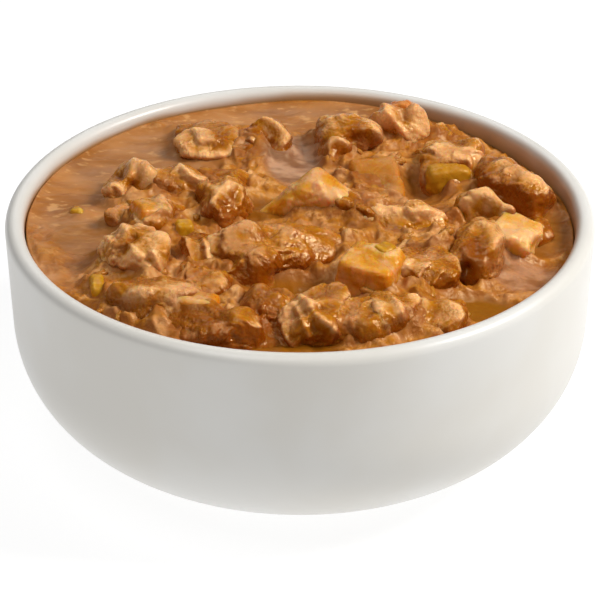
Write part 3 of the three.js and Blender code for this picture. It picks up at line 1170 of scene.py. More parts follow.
@dataclass(frozen=True)
class Morsel:
    """One piece of food: a superellipsoid flattened by torn faces, with balls bulging from it.

    at: centre in plan.  rise: height of its top over the sauce.  size: length, width, depth.
    turn, tilt, lean: degrees about Z, Y and X, applied X first.  corner: 2 is an ellipsoid, larger is
    boxier.  faces: sliced faces, each an outward normal and a distance from the centre.
    """

    name: str
    kind: Kind
    at: Place
    rise: float
    size: Triple
    turn: float = 0.0
    tilt: float = 0.0
    lean: float = 0.0
    cuts: int = 0
    lobes: int = 0
    corner: float = 4.0
    seed: int = 1
    faces: tuple[tuple[float, float, float, float], ...] = ()

    SUNK = 130.0  # degrees off the top where the fine sheet ends and the closing fan begins
    BLEND = 16.0  # how sharply the balls join the body
    CUT = (0.70, 0.24)  # least distance of a torn face, and how much more is drawn
    BALL = (0.4, 0.12)  # and so for a ball's radius, as a share of the body's
    BALL_OUT = 0.62  # share of the body's radius at which a ball's centre lies

    def form(self) -> "Form":
        """Everything that fixes the smooth form, drawn from the seed.

        Returns:
            The form.
        """
        source = draws(self.seed)
        half = np.array(self.size) / 2.0
        least, more = self.CUT
        cuts = []
        for _ in range(self.cuts):
            normal = drawn_direction(source)
            depth = least + more * next(source)
            cuts.append((*normal, depth * np.linalg.norm(half * normal)))
        cuts.extend(self.faces)
        planes = np.array(cuts, float).reshape(-1, 4)
        plain = Form(half, planes, self.corner, np.zeros((0, 3)), np.zeros(0), self.turning())
        least, more = self.BALL
        centres, radii = [], []
        for _ in range(self.lobes):
            towards = drawn_direction(source)
            towards[2] = abs(towards[2])
            reach = float(plain.plain_radius(towards[None, :])[0])
            centres.append(self.BALL_OUT * reach * towards)
            radii.append((least + more * next(source)) * reach)
        balls = np.array(centres).reshape(-1, 3)
        return Form(half, planes, self.corner, balls, np.array(radii), plain.turn)

    def turning(self) -> np.ndarray:
        """Rotation matrix: lean about X, then tilt about Y, then turn about Z.

        Returns:
            A 3 by 3 array.
        """
        angles = np.radians([self.lean, self.tilt, self.turn])
        (a, b, c), (p, q, r) = np.cos(angles), np.sin(angles)
        about_x = np.array([[1, 0, 0], [0, a, -p], [0, p, a]])
        about_y = np.array([[b, 0, q], [0, 1, 0], [-q, 0, b]])
        about_z = np.array([[c, -r, 0], [r, c, 0], [0, 0, 1]])
        return about_z @ about_y @ about_x


@dataclass(frozen=True)
class Form:
    """A smooth star-shaped form: its radius is known in every direction."""

    half: np.ndarray
    planes: np.ndarray
    corner: float
    centres: np.ndarray
    radii: np.ndarray
    turn: np.ndarray

    # degrees off the top and round it at which the highest point is searched
    POLAR = np.arange(0, 61, 10)
    AROUND = np.arange(0, 360, 20)

    def plain_radius(self, directions: np.ndarray) -> np.ndarray:
        """Radius of the body without its balls.

        (sum |d_i / half_i|^p + sum (max(0, d . n) / reach)^p)^(-1/p), which is a superellipsoid also
        rounded over each cut's plane.

        Args:
            directions: N unit vectors.

        Returns:
            N radii.
        """
        total = np.sum(np.abs(directions / self.half) ** self.corner, axis=1)
        for x, y, z, reach in self.planes:
            facing = np.clip(directions @ np.array([x, y, z]), 0.0, None)
            total += (facing / reach) ** self.corner
        return total ** (-1.0 / self.corner)

    def radius(self, directions: np.ndarray) -> np.ndarray:
        """Radius with the balls: (the body's radius^b + every ball's reach^b)^(1/b), b the blend.

        Args:
            directions: N unit vectors.

        Returns:
            N radii.
        """
        total = self.plain_radius(directions) ** Morsel.BLEND
        for centre, radius in zip(self.centres, self.radii):
            along = directions @ centre
            square = radius**2 - centre @ centre + along**2
            reach = along + np.sqrt(np.clip(square, 0.0, None))
            total += np.where(square > 0.0, np.clip(reach, 0.0, None), 0.0) ** Morsel.BLEND
        return total ** (1.0 / Morsel.BLEND)

    def top(self) -> float:
        """Height of the highest point over the centre, searched to 60 degrees off the top.

        Returns:
            The height, 0 or more.
        """
        polar, around = np.meshgrid(np.radians(self.POLAR), np.radians(self.AROUND))
        across = np.sin(polar)
        grid = np.stack([across * np.cos(around), across * np.sin(around), np.cos(polar)], axis=2)
        directions = grid.reshape(-1, 3)
        turned = (directions * self.radius(directions)[:, None]) @ self.turn.T
        return max(0.0, float(turned[:, 2].max()))


@dataclass
class Placed:
    """A morsel set in the sauce: where its centre is and what its smooth form is."""

    morsel: Morsel
    form: Form
    centre: np.ndarray

    PRESS = 1.25  # how strongly the strokes are laid
    CALMER = 0.55  # how much of the drawn lumps and crags a piece keeps where strokes shape it
    SMALL = 6.5  # half thickness under which a piece is worked less deeply
    CURDS = (0.4, 0.6)  # share of the curds that every piece keeps, and that the others keep as well
    OWN = 37.0  # how far apart in the lattice the fibres of two pieces lie
    SEED = 101  # of the noise that all pieces share, so that ridges run on from one to the next
    BRIDGE_WIDTH = 1.5
    COARSEST = 18  # least number of cells across a piece's sheet
    TIP = 0.9  # share of the half depth at which the sheet closes
    SPREAD = (4.0, 97.0)  # percentiles of the relief that get the ramp's two end colours: painted shade and painted light
    STEEP = (0.3, 1.0)  # upward share of the normal on a side and on a top; the sides take painted shade
    GROOVE_DARK = 2.4  # depth of a groove at which its painted shade is darkest
    GAP_DARK = 0.85  # how dark the painted shade grows in gaps, for each millimetre of swelling
    NARROW = 3  # how quickly that fades out of the gap
    GAP_TILT = (0.3, 0.7)  # share of that on a top, and how much more on a side
    # how strong the painted shade is at most
    DEEPEST = 0.85
    COAT_HIDES = 0.8  # how much of the sides' painted shade a full coat hides
    COAT_PALES = 0.35  # how far it lifts the colour up the ramp
    WATERLINE = (0.3, 2.2)  # heights over the sauce between which its colour fades
    WATERLINE_COAT = 0.8
    ROOM = 0.8  # height under the top of the model's box in which a piece is pressed down
    OVER_HOLLOW = 0.05  # how far over the hollow's radius a piece may reach

    def clearance(self, points: np.ndarray) -> np.ndarray:
        """How far each point is outside the form, along the line from its centre; negative inside.

        Args:
            points: N by 3 array.

        Returns:
            N distances.
        """
        away = (points - self.centre) @ self.form.turn
        length = np.linalg.norm(away, axis=1)
        directions = away / np.clip(length, 1e-6, None)[:, None]
        return length - self.form.radius(directions)

    def surface(
        self, sauce: "Sauce", bowl: Bowl
    ) -> tuple[np.ndarray, list[np.ndarray], dict[str, np.ndarray]]:
        """The worked surface of the piece.

        The sheet's radius becomes the angle off the top and its angle the angle round it.  Each point
        lies along its direction at the form's radius + relief + strokes + a swelling where another
        piece is near.

        Args:
            sauce: for the level where the piece is coated.
            bowl: for the wall that the piece may lie against.

        Returns:
            The points, the faces, and the values kept on the points.
        """
        work = RELIEFS[self.morsel.kind]
        span = 2.0 * math.radians(Morsel.SUNK) * float(np.mean(self.form.half))
        sheet = Sheet(cells=max(self.COARSEST, round(span / work.spacing)))
        directions = sheet.dome(Morsel.SUNK)
        base = directions * self.form.radius(directions)[:, None]
        near = self.nearness(base, sauce)
        stroked = self.stroked(base, directions)
        relief = self.relief(base, work) + stroked + work.bridge * near
        worked = (base + directions * relief[:, None]) @ self.form.turn.T + self.centre
        worked = self.under_top(self.against_wall(worked, bowl))
        tip = self.form.turn @ np.array([0.0, 0.0, -self.TIP * self.form.half[2]]) + self.centre

        coat = COATS.get(self.morsel.name, 0.0)
        low, high = np.percentile(relief, self.SPREAD)
        over = worked[:, 2] - sauce.level_at(worked[:, 0], worked[:, 1])
        # painted shade: sides, narrow gaps between pieces and grooves are darkened as if in shade
        side_shade = 1.0 - smooth_step(sheet.normals(worked)[:, 2], *self.STEEP)
        flat_gap, steep_gap = self.GAP_TILT
        gap = self.GAP_DARK * work.bridge * near**self.NARROW * (flat_gap + steep_gap * side_shade)
        groove = np.clip(-stroked / self.GROOVE_DARK, 0.0, 1.0)
        depth = np.maximum.reduce([side_shade * (1.0 - self.COAT_HIDES * coat), gap, groove])
        waterline = self.WATERLINE_COAT * (1.0 - smooth_step(over, *self.WATERLINE))
        stain = min(1.0, max(0.0, -1.0 - coat))
        marks = {
            "relief": np.clip((relief - low) / (high - low) + self.COAT_PALES * coat, 0.0, 1.0),
            "sauce": np.maximum(waterline, stain),
            "painted_shade": np.clip(self.DEEPEST * depth, 0.0, 1.0),
        }
        marks = {key: np.append(values, 0.0) for key, values in marks.items()}
        return np.vstack([worked, tip]), sheet.faces(0), marks

    def relief(self, base: np.ndarray, work: Relief) -> np.ndarray:
        """Height of the worked surface over the smooth form.

        Crags, curds and lumps, less of them where strokes shape the piece, + rags + fibres + grain.
        All layers but the fibres are taken where the piece lies, so that they run on to its
        neighbours.

        Args:
            base: N by 3 array, in the piece's own frame.
            work: how this kind is worked.

        Returns:
            N heights.
        """
        noise = GradientNoise(self.SEED)
        shared = base @ self.form.turn.T + self.centre
        bent = noise.warp(shared, *work.WARP)
        patch = work.patches(noise, shared)
        name = self.morsel.name
        size = min(1.0, float(self.form.half.min()) / self.SMALL)
        broad = size * (self.CALMER if name in STROKES else 1.0)
        kept, more = self.CURDS
        height = broad * work.crags(noise, bent, shared)
        height += (kept + more * broad) * work.hump * work.curds(noise, bent)
        height += broad * work.lump * noise.at(bent, work.lump_length)
        height += size * SMOOTH.get(name, 1.0) * work.rags(noise, bent, patch)
        if work.fibre > 0.0:
            height += size * work.fibres(noise, base + self.OWN * self.morsel.seed)
        return height + work.grain * (work.GRAIN_LEAST + patch) * noise.at(shared, work.grain_length)

    def stroked(self, base: np.ndarray, directions: np.ndarray) -> np.ndarray:
        """Height of the strokes laid on this piece, at points in its own frame.

        Args:
            base: the points, N by 3.
            directions: theirs from the centre.

        Returns:
            N heights.
        """
        turn = self.form.turn.T
        seen = SEAT.on_plane(base @ turn + self.centre)
        total = np.zeros(len(base))
        for stroke in STROKES.get(self.morsel.name, ()):
            total += stroke.lift(seen)
        return self.PRESS * total * SEAT.facing(directions @ turn)

    def nearness(self, base: np.ndarray, sauce: "Sauce") -> np.ndarray:
        """How close the nearest other piece is: exp(-(gap / width)^2), 1 where the two touch."""
        gap = sauce.clearances(base @ self.form.turn.T + self.centre, without=self)[:, 0]
        return np.exp(-((gap / self.BRIDGE_WIDTH) ** 2))

    @staticmethod
    def against_wall(points: np.ndarray, bowl: Bowl) -> np.ndarray:
        """Draws in the points that lie beyond the hollow's radius, so that none passes the wall.

        Args:
            points: N by 3 array.
            bowl: the bowl round them.

        Returns:
            The points drawn in.
        """
        reach = np.hypot(points[:, 0], points[:, 1])
        limit = bowl.hollow_radius(points[:, 2]) + Placed.OVER_HOLLOW
        scale = np.where(reach > limit, limit / np.clip(reach, 1e-6, None), 1.0)
        drawn = points.copy()
        drawn[:, :2] *= scale[:, None]
        return drawn

    @staticmethod
    def under_top(points: np.ndarray) -> np.ndarray:
        """Presses heights near the top of the model's box down under it, by a tanh of the excess.

        Args:
            points: N by 3 array.

        Returns:
            The points pressed down.
        """
        room = Placed.ROOM
        start = CAD_BOX[1][2] / METRE - room
        pressed = points.copy()
        excess = np.clip(points[:, 2] - start, 0.0, None)
        pressed[:, 2] = np.where(excess > 0.0, start + room * np.tanh(excess / room), points[:, 2])
        return pressed

    def build(self, sauce: "Sauce", bowl: Bowl, material: bpy.types.Material) -> bpy.types.Object:
        """Makes the piece and lets it stand for its CAD node.

        Args:
            sauce: the filling round it.
            bowl: the bowl round both.
            material: its finish.

        Returns:
            The new object.
        """
        points, faces, marks = self.surface(sauce, bowl)
        piece = make_piece(f"{self.morsel.name}_piece", points, faces, material, marks)
        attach(piece, "root")
        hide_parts(self.morsel.name)
        return piece


def chicken(
    number: int, at: Place, rise: float, size: Triple, turn: float, seed: int, **more: object
) -> Morsel:
    """A torn piece of chicken; `more` overrides its cuts and lobes."""
    shape = {"cuts": 9, "lobes": 2, "corner": 7.0, **more}
    return Morsel(f"chicken_{number:02d}", Kind.CHICKEN, at, rise, size, turn=turn, seed=seed, **shape)


def potato(number: int, at: Place, rise: float, size: Triple, **more: object) -> Morsel:
    """A cut cube of potato; `more` gives how it lies and any sliced faces."""
    return Morsel(f"potato_{number:02d}", Kind.POTATO, at, rise, size, corner=9.0, **more)


def bit(name: str, kind: Kind, at: Place, rise: float, size: Triple, turn: float, seed: int) -> Morsel:
    """A small bit of pepper or carrot."""
    return Morsel(name, kind, at, rise, size, turn=turn, seed=seed, cuts=1, corner=4.0)


MORSELS = [
    bit("pepper_05", Kind.PEPPER, (20.5, -31), 10.6, (5, 5, 4), -40, 48),
    potato(1, (20, 20.5), 5.5, (13, 18, 13), turn=10, lean=16),
    potato(2, (53, -12), 9, (11, 14, 13), turn=-24, tilt=14),
    potato(
        3,
        (2, 7.5),
        11.5,
        (37, 20, 24),
        faces=(
            (-0.18, -0.98, 0.0, 7.5),
            (0.25, -0.36, 0.9, 9.9),
            (-0.6, -0.05, 0.8, 7.3),
            (0.8, 0.1, 0.6, 11.5),
            (-0.5, 0.8, 0.29, 3.6),
            (0.5, 0.8, 0.3, 6.3),
        ),
    ),
    potato(4, (17, -34.5), 10, (14, 14, 17), turn=-22, tilt=5),
    potato(5, (-39, -5.5), 8.6, (8, 8, 13), turn=30, tilt=14),
    potato(6, (-25, -51.5), 8, (11, 7, 12), turn=-18),
    bit("pepper_01", Kind.PEPPER, (39, 21), 7, (12, 7, 8), 8, 41),
    bit("pepper_02", Kind.PEPPER, (-57, 4), 2.2, (4.5, 4.5, 4), -30, 42),
    bit("pepper_03", Kind.PEPPER, (-49, -37), 4.6, (4, 9, 8), 10, 43),
    bit("pepper_04", Kind.PEPPER, (-29, -10.5), 6, (5, 4.5, 8), 10, 44),
    bit("carrot_01", Kind.CARROT, (27, 50.5), 11, (6.5, 5, 6), -12, 47),
    chicken(1, (-24, 41), 6.6, (19, 24, 13), 8, 1),
    chicken(2, (-9.5, 43), 7.5, (21, 12, 13), -35, 2),
    chicken(3, (12, 43.5), 10, (17, 18, 16), 10, 3),
    chicken(4, (28, 49.5), 10, (17, 11, 15), -14, 4),
    chicken(5, (9.5, 33.5), 6.3, (9, 12, 10), 0, 5),
    chicken(6, (42, 27.5), 10, (21, 25, 17), -22, 6),
    chicken(7, (55, 14), 10.2, (34, 14, 17), -41, 7),
    chicken(8, (38, 50.5), 4, (10, 8, 8), -20, 8),
    chicken(9, (-13.5, 34.5), 5.5, (10, 13, 9), 20, 45),
    chicken(10, (47, -1), 10, (19, 11, 17), -8, 9),
    chicken(11, (44, -20), 10.5, (15, 30, 18), 12, 10),
    chicken(12, (25, -3), 7, (34, 15, 12), -6, 11),
    chicken(13, (29, -29.5), 7, (17, 29, 13), 14, 13),
    chicken(14, (60.5, -3), 5, (7, 16, 10), 20, 28),
    chicken(15, (15.5, 2.5), 7, (14, 12, 10), -20, 46),
    chicken(16, (-7.5, -22.5), 10.8, (43, 28, 18), 2, 12, cuts=12, lobes=6),
    chicken(17, (-37, -47), 9, (31, 17, 15), -28, 20),
    chicken(18, (-20, -58.5), 8, (29, 18, 15), -16, 21),
    chicken(19, (-8, -53.5), 8.8, (20, 24, 17), 6, 14),
    chicken(20, (2.5, -54), 8.8, (15, 24, 17), -12, 15),
    chicken(21, (12.5, -56.5), 8.2, (16, 20, 16), -8, 16),
    chicken(22, (23.5, -52), 8.3, (14, 17, 15), 10, 17),
    chicken(23, (31.5, -54), 6.4, (19, 13, 14), 22, 18),
    chicken(24, (-40.5, -22), 11.5, (20, 30, 18), 24, 19),
    chicken(25, (-44, 15), 8.5, (15, 16, 15), 15, 22),
    chicken(26, (-30.5, 14.5), 8, (15, 15, 14), -20, 23),
    chicken(27, (-19.5, 2.5), 8, (15, 19, 15), 30, 24),
    chicken(28, (-36, -3.5), 7.8, (13, 22, 14), -30, 25),
    chicken(29, (-20, 18.5), 5.5, (17, 9, 10), -12, 26),
    chicken(30, (-22, -36), 6, (17, 18, 12), 8, 27),
    chicken(31, (-44.5, -1.5), 6, (7, 11, 10), -40, 29),
    chicken(32, (-24, -22), 7.5, (11, 19, 13), 10, 30),
]


# how thickly pale sauce coats a piece, from -1, bare, to 1; thin sauce stains those below -1. The coat also
# sets how much painted shade its sides take: less under a full coat, more below 0
COATS: dict[str, float] = {
    "chicken_01": 0.7,
    "chicken_03": 0.2,
    "chicken_04": 1.0,
    "chicken_06": 0.5,
    "chicken_07": -0.3,
    "chicken_10": 0.8,
    "chicken_11": 0.2,
    "chicken_12": 0.8,
    "chicken_14": -0.6,
    "chicken_16": -0.5,
    "chicken_17": 0.3,
    "chicken_18": -0.6,
    "chicken_19": -0.7,
    "chicken_20": 0.4,
    "chicken_21": 0.3,
    "chicken_24": 1.0,
    "chicken_25": 0.9,
    "chicken_26": 0.3,
    "chicken_28": 0.3,
    "chicken_30": -0.3,
    "chicken_31": 0.5,
    "chicken_32": -0.3,
    "potato_01": -1.7,
    "potato_02": 1.0,
    "potato_03": 0.8,
    "potato_04": 0.4,
    "potato_05": 0.3,
    "pepper_01": -1.25,
}

# share of the shreds and small lumps that is left on the pieces under a smooth coat
SMOOTH: dict[str, float] = {
    "chicken_03": 0.6,
    "chicken_07": 0.3,
    "chicken_11": 0.5,
    "chicken_17": 0.4,
    "chicken_18": 0.5,
    "chicken_19": 0.2,
}

# ridges, grooves, knobs and dents of each piece, by half width, height and line; grooves and dents also take
# painted shade
STROKES: dict[str, tuple[Stroke, ...]] = {
    "chicken_01": (
        Stroke(1.5, 1.6, ((-28.5, 44.5), (-26, 43), (-24.5, 40.5))),
        Stroke(1.0, 0.9, ((-28.5, 42.8), (-31, 40.5), (-31.4, 38))),
        Stroke(1.3, 1.2, ((-29, 36.5), (-17.7, 36.7))),
        Stroke(2.2, -1.2, ((-20, 41.3),)),
    ),
    "chicken_02": (
        Stroke(1.2, 1.3, ((-12, 46), (-7.6, 44.3), (-3.5, 41))),
        Stroke(1.5, 1.0, ((-4.8, 39.7),)),
        Stroke(1.8, -1.5, ((-7.3, 39),)),
        Stroke(1.0, 1.0, ((-11.6, 40.5), (-9.6, 36.7))),
    ),
    "chicken_03": (
        Stroke(4.0, 0.8, ((8.6, 43.8),)),
        Stroke(1.3, 1.4, ((17.2, 46), (19.2, 43), (19.7, 40))),
        Stroke(1.2, 1.2, ((16.2, 38), (18.2, 38), (20.2, 39.2))),
        Stroke(2.0, -1.0, ((14, 40.5),)),
    ),
    "chicken_04": (
        Stroke(2.2, 1.2, ((21.8, 45.6),)),
        Stroke(1.2, 1.2, ((22.3, 47.6), (25.3, 43.5), (27.8, 40))),
        Stroke(1.5, 1.3, ((28.3, 47.3), (31, 45), (31.6, 41.8))),
        Stroke(1.6, -1.0, ((26.3, 46),)),
        Stroke(1.9, -2.0, ((26.8, 49.6),)),
    ),
    "chicken_05": (
        Stroke(0.9, 0.9, ((7.8, 35.4), (8.3, 39.7), (11.6, 38.5))),
        Stroke(1.4, -1.0, ((10, 37.2),)),
    ),
    "chicken_06": (
        Stroke(2.6, 1.6, ((35.2, 38.7),)),
        Stroke(1.0, 1.0, ((33.4, 40.5), (37.5, 41))),
        Stroke(0.8, 0.7, ((38, 38.5), (47.3, 36))),
        Stroke(0.8, 0.6, ((39.2, 36.5), (45.6, 34.7))),
        Stroke(1.6, -1.0, ((35.4, 34.2), (45.6, 32.4))),
    ),
    "chicken_07": (
        Stroke(1.6, 1.3, ((48, 36), (55.7, 32.4), (63.8, 25.8))),
        Stroke(1.2, 0.8, ((52, 32.4),)),
        Stroke(1.0, 0.6, ((55.7, 30),)),
        Stroke(2.4, -0.9, ((50.6, 27), (58.2, 24.6))),
    ),
    "chicken_10": (Stroke(1.6, 1.2, ((41.8, 24), (47.3, 26.8), (52.7, 22.3))),),
    "chicken_11": (
        Stroke(1.8, 1.3, ((39.2, 20.5), (45.6, 19.7), (50, 14.7))),
        Stroke(1.3, 0.9, ((50, 14.7), (50.6, 9.6))),
        Stroke(4.0, -1.6, ((44.5, 12.5),)),
        Stroke(2.3, -2.8, ((41.3, 7.3),)),
    ),
    "chicken_12": (
        Stroke(1.6, 1.4, ((12.7, 26.6), (21.5, 22.8), (35.4, 21.5))),
        Stroke(0.9, 0.7, ((26.6, 22.3),)),
        Stroke(0.9, 0.7, ((29, 20.3),)),
    ),
    "chicken_13": (
        Stroke(0.7, 0.6, ((26, 7), (28.5, 9.5))),
        Stroke(0.7, 0.6, ((30, 6), (32.5, 9))),
        Stroke(0.7, 0.6, ((33.5, 4), (36, 7.5))),
        Stroke(0.7, 0.6, ((28, 2), (30.5, 5))),
    ),
    "chicken_16": (
        Stroke(2.2, 1.2, ((-25.3, 12.7), (-9.6, 19.7), (11.4, 18.2))),
        Stroke(1.3, -1.1, ((-1.8, 19.2), (3, 17.2))),
        Stroke(0.9, 0.7, ((-2.5, 16.5), (4.6, 15.7))),
        Stroke(2.4, -0.9, ((-18.2, 9.6),)),
        Stroke(0.9, 0.8, ((-21.5, 8), (-18.2, 7), (-15.2, 9.6))),
        Stroke(3.0, -3.6, ((-5, 5), (2, 5), (9, 7))),
    ),
    "chicken_17": (Stroke(1.6, 1.0, ((-43, 0.5), (-34.2, 2.5), (-25.3, -0.5))),),
    "chicken_18": (
        Stroke(1.5, 1.4, ((-17.2, -4.6), (-12.7, -7), (-10.9, -11.4))),
        Stroke(1.5, -1.2, ((-16.5, -9),)),
    ),
    "chicken_19": (
        Stroke(1.8, 1.2, ((-15, 2.4), (-9.5, 5.2), (-4, 3.8))),
        Stroke(1.8, 1.2, ((-4, 3.8), (-1.8, -0.5))),
        Stroke(4.2, -2.3, ((-12, -4), (-3, -7))),
        Stroke(0.6, -0.5, ((-11, -2.3),)),
        Stroke(0.6, -0.5, ((-7, -4.5),)),
    ),
    "chicken_20": (
        Stroke(1.3, 1.3, ((0, 0.5), (5, -4.6), (11.4, -11))),
        Stroke(1.0, 0.8, ((-1.3, -1.3), (2.5, -9))),
    ),
    "chicken_21": (
        Stroke(1.8, 0.8, ((10, 0),)),
        Stroke(1.8, 0.8, ((15.2, -2.5),)),
    ),
    "chicken_22": (
        Stroke(1.2, 1.1, ((21.5, 2.5), (24, 0), (26.6, -4.6))),
        Stroke(1.0, 0.8, ((25.3, 3), (29, -1.3))),
    ),
    "chicken_23": (Stroke(1.6, 1.0, ((31.6, -0.5), (35.4, 0), (40.5, -4.6))),),
    "chicken_24": (
        Stroke(1.6, 1.4, ((-44.5, 18.7),)),
        Stroke(1.4, 1.2, ((-48.6, 15.5),)),
        Stroke(1.2, -1.2, ((-42, 16.5), (-45.5, 13))),
        Stroke(1.2, 0.9, ((-47.5, 10),)),
        Stroke(0.7, 0.7, ((-43.5, 14.5), (-40, 11))),
        Stroke(0.7, 0.7, ((-42.5, 12), (-38.5, 8.5))),
        Stroke(0.7, 0.7, ((-41.5, 9.5), (-37, 6))),
        Stroke(0.8, 0.8, ((-37.5, 12), (-35, 6.5))),
        Stroke(2.2, 0.9, ((-43, 10),)),
    ),
    "chicken_25": (
        Stroke(1.6, 1.6, ((-49.4, 33.4), (-42.3, 35.2), (-38, 29))),
        Stroke(1.3, 1.3, ((-38, 29), (-36.2, 25.3))),
        Stroke(1.8, -1.4, ((-46.6, 32),)),
        Stroke(2.0, -1.6, ((-42.5, 29.4),)),
        Stroke(1.2, 1.2, ((-48.6, 27.8), (-46, 29), (-43.8, 25.8))),
    ),
    "chicken_26": (
        Stroke(1.8, 1.2, ((-36.7, 33.4),)),
        Stroke(1.1, 1.5, ((-30.4, 33), (-27.8, 30.4), (-25.3, 29.6))),
        Stroke(2.2, -1.4, ((-34.2, 29),)),
    ),
    "chicken_27": (
        Stroke(1.5, 1.5, ((-24, 21.5), (-20, 27), (-15, 30.5))),
        Stroke(0.8, 0.9, ((-14.4, 29.4), (-15.2, 24))),
        Stroke(2.0, -1.2, ((-19.7, 24),)),
    ),
    "chicken_32": (
        Stroke(0.8, 0.8, ((-28, 14), (-26.5, 8))),
        Stroke(0.8, 0.8, ((-24.5, 15), (-23.5, 10))),
    ),
    "potato_01": (
        Stroke(2.5, -1.2, ((14, 32), (21, 30))),
        Stroke(1.2, 0.8, ((14.5, 35), (20, 36.5), (25, 35.5))),
        Stroke(2.0, 0.9, ((24, 27.5),)),
    ),
    "potato_02": (
        Stroke(1.3, 0.9, ((50.6, 13.5), (55, 16.5), (60.5, 16))),
        Stroke(1.6, 0.8, ((52, 9.5),)),
        Stroke(1.0, 0.6, ((57, 12.5), (62, 10.5))),
        Stroke(2.0, -0.8, ((57, 8),)),
    ),
    "potato_03": (
        Stroke(1.1, 0.7, ((4.6, 29),)),
        Stroke(1.2, 0.7, ((9, 27.3),)),
        Stroke(1.0, 0.6, ((7, 25.3),)),
    ),
}


# ------------------------------------------------------------------ the sauce


@dataclass(frozen=True)
class Pool:
    """An oval of open sauce: its middle, its half sizes, and how calm, thin and frothy it is; thin paints
    shade on it and frothy paints sheen.
    """

    at: Place
    half: Place
    calm: float = 1.0
    thin: float = 0.0  # clear and dark: painted shade
    froth_and_sheen: float = 0.0  # pale foam over dark murk, partly painted sheen and shade

    EDGE = (0.5, 1.5)  # squared distances, over the half sizes, between which it ends

    def share(self, points: np.ndarray) -> np.ndarray:
        """1 in its middle and 0 outside: a step of the squared distance over the half sizes."""
        apart = (points[:, :2] - np.array(self.at)) / np.array(self.half)
        return 1.0 - smooth_step(np.sum(apart * apart, axis=1), *self.EDGE)


@dataclass(frozen=True)
class Ridges:
    """Torn ridges of the sauce: their height, wavelength, mean share and layer of the noise."""

    height: float
    length: float
    mean: float
    layer: Layer
    octaves: int = 3
    gain: float = 0.5

    def over(self, noise: GradientNoise, points: np.ndarray) -> np.ndarray:
        """height * (ridged noise - mean) at each point."""
        crag = noise.crag(points + self.layer, self.length, self.octaves, self.gain)
        return self.height * (crag - self.mean)


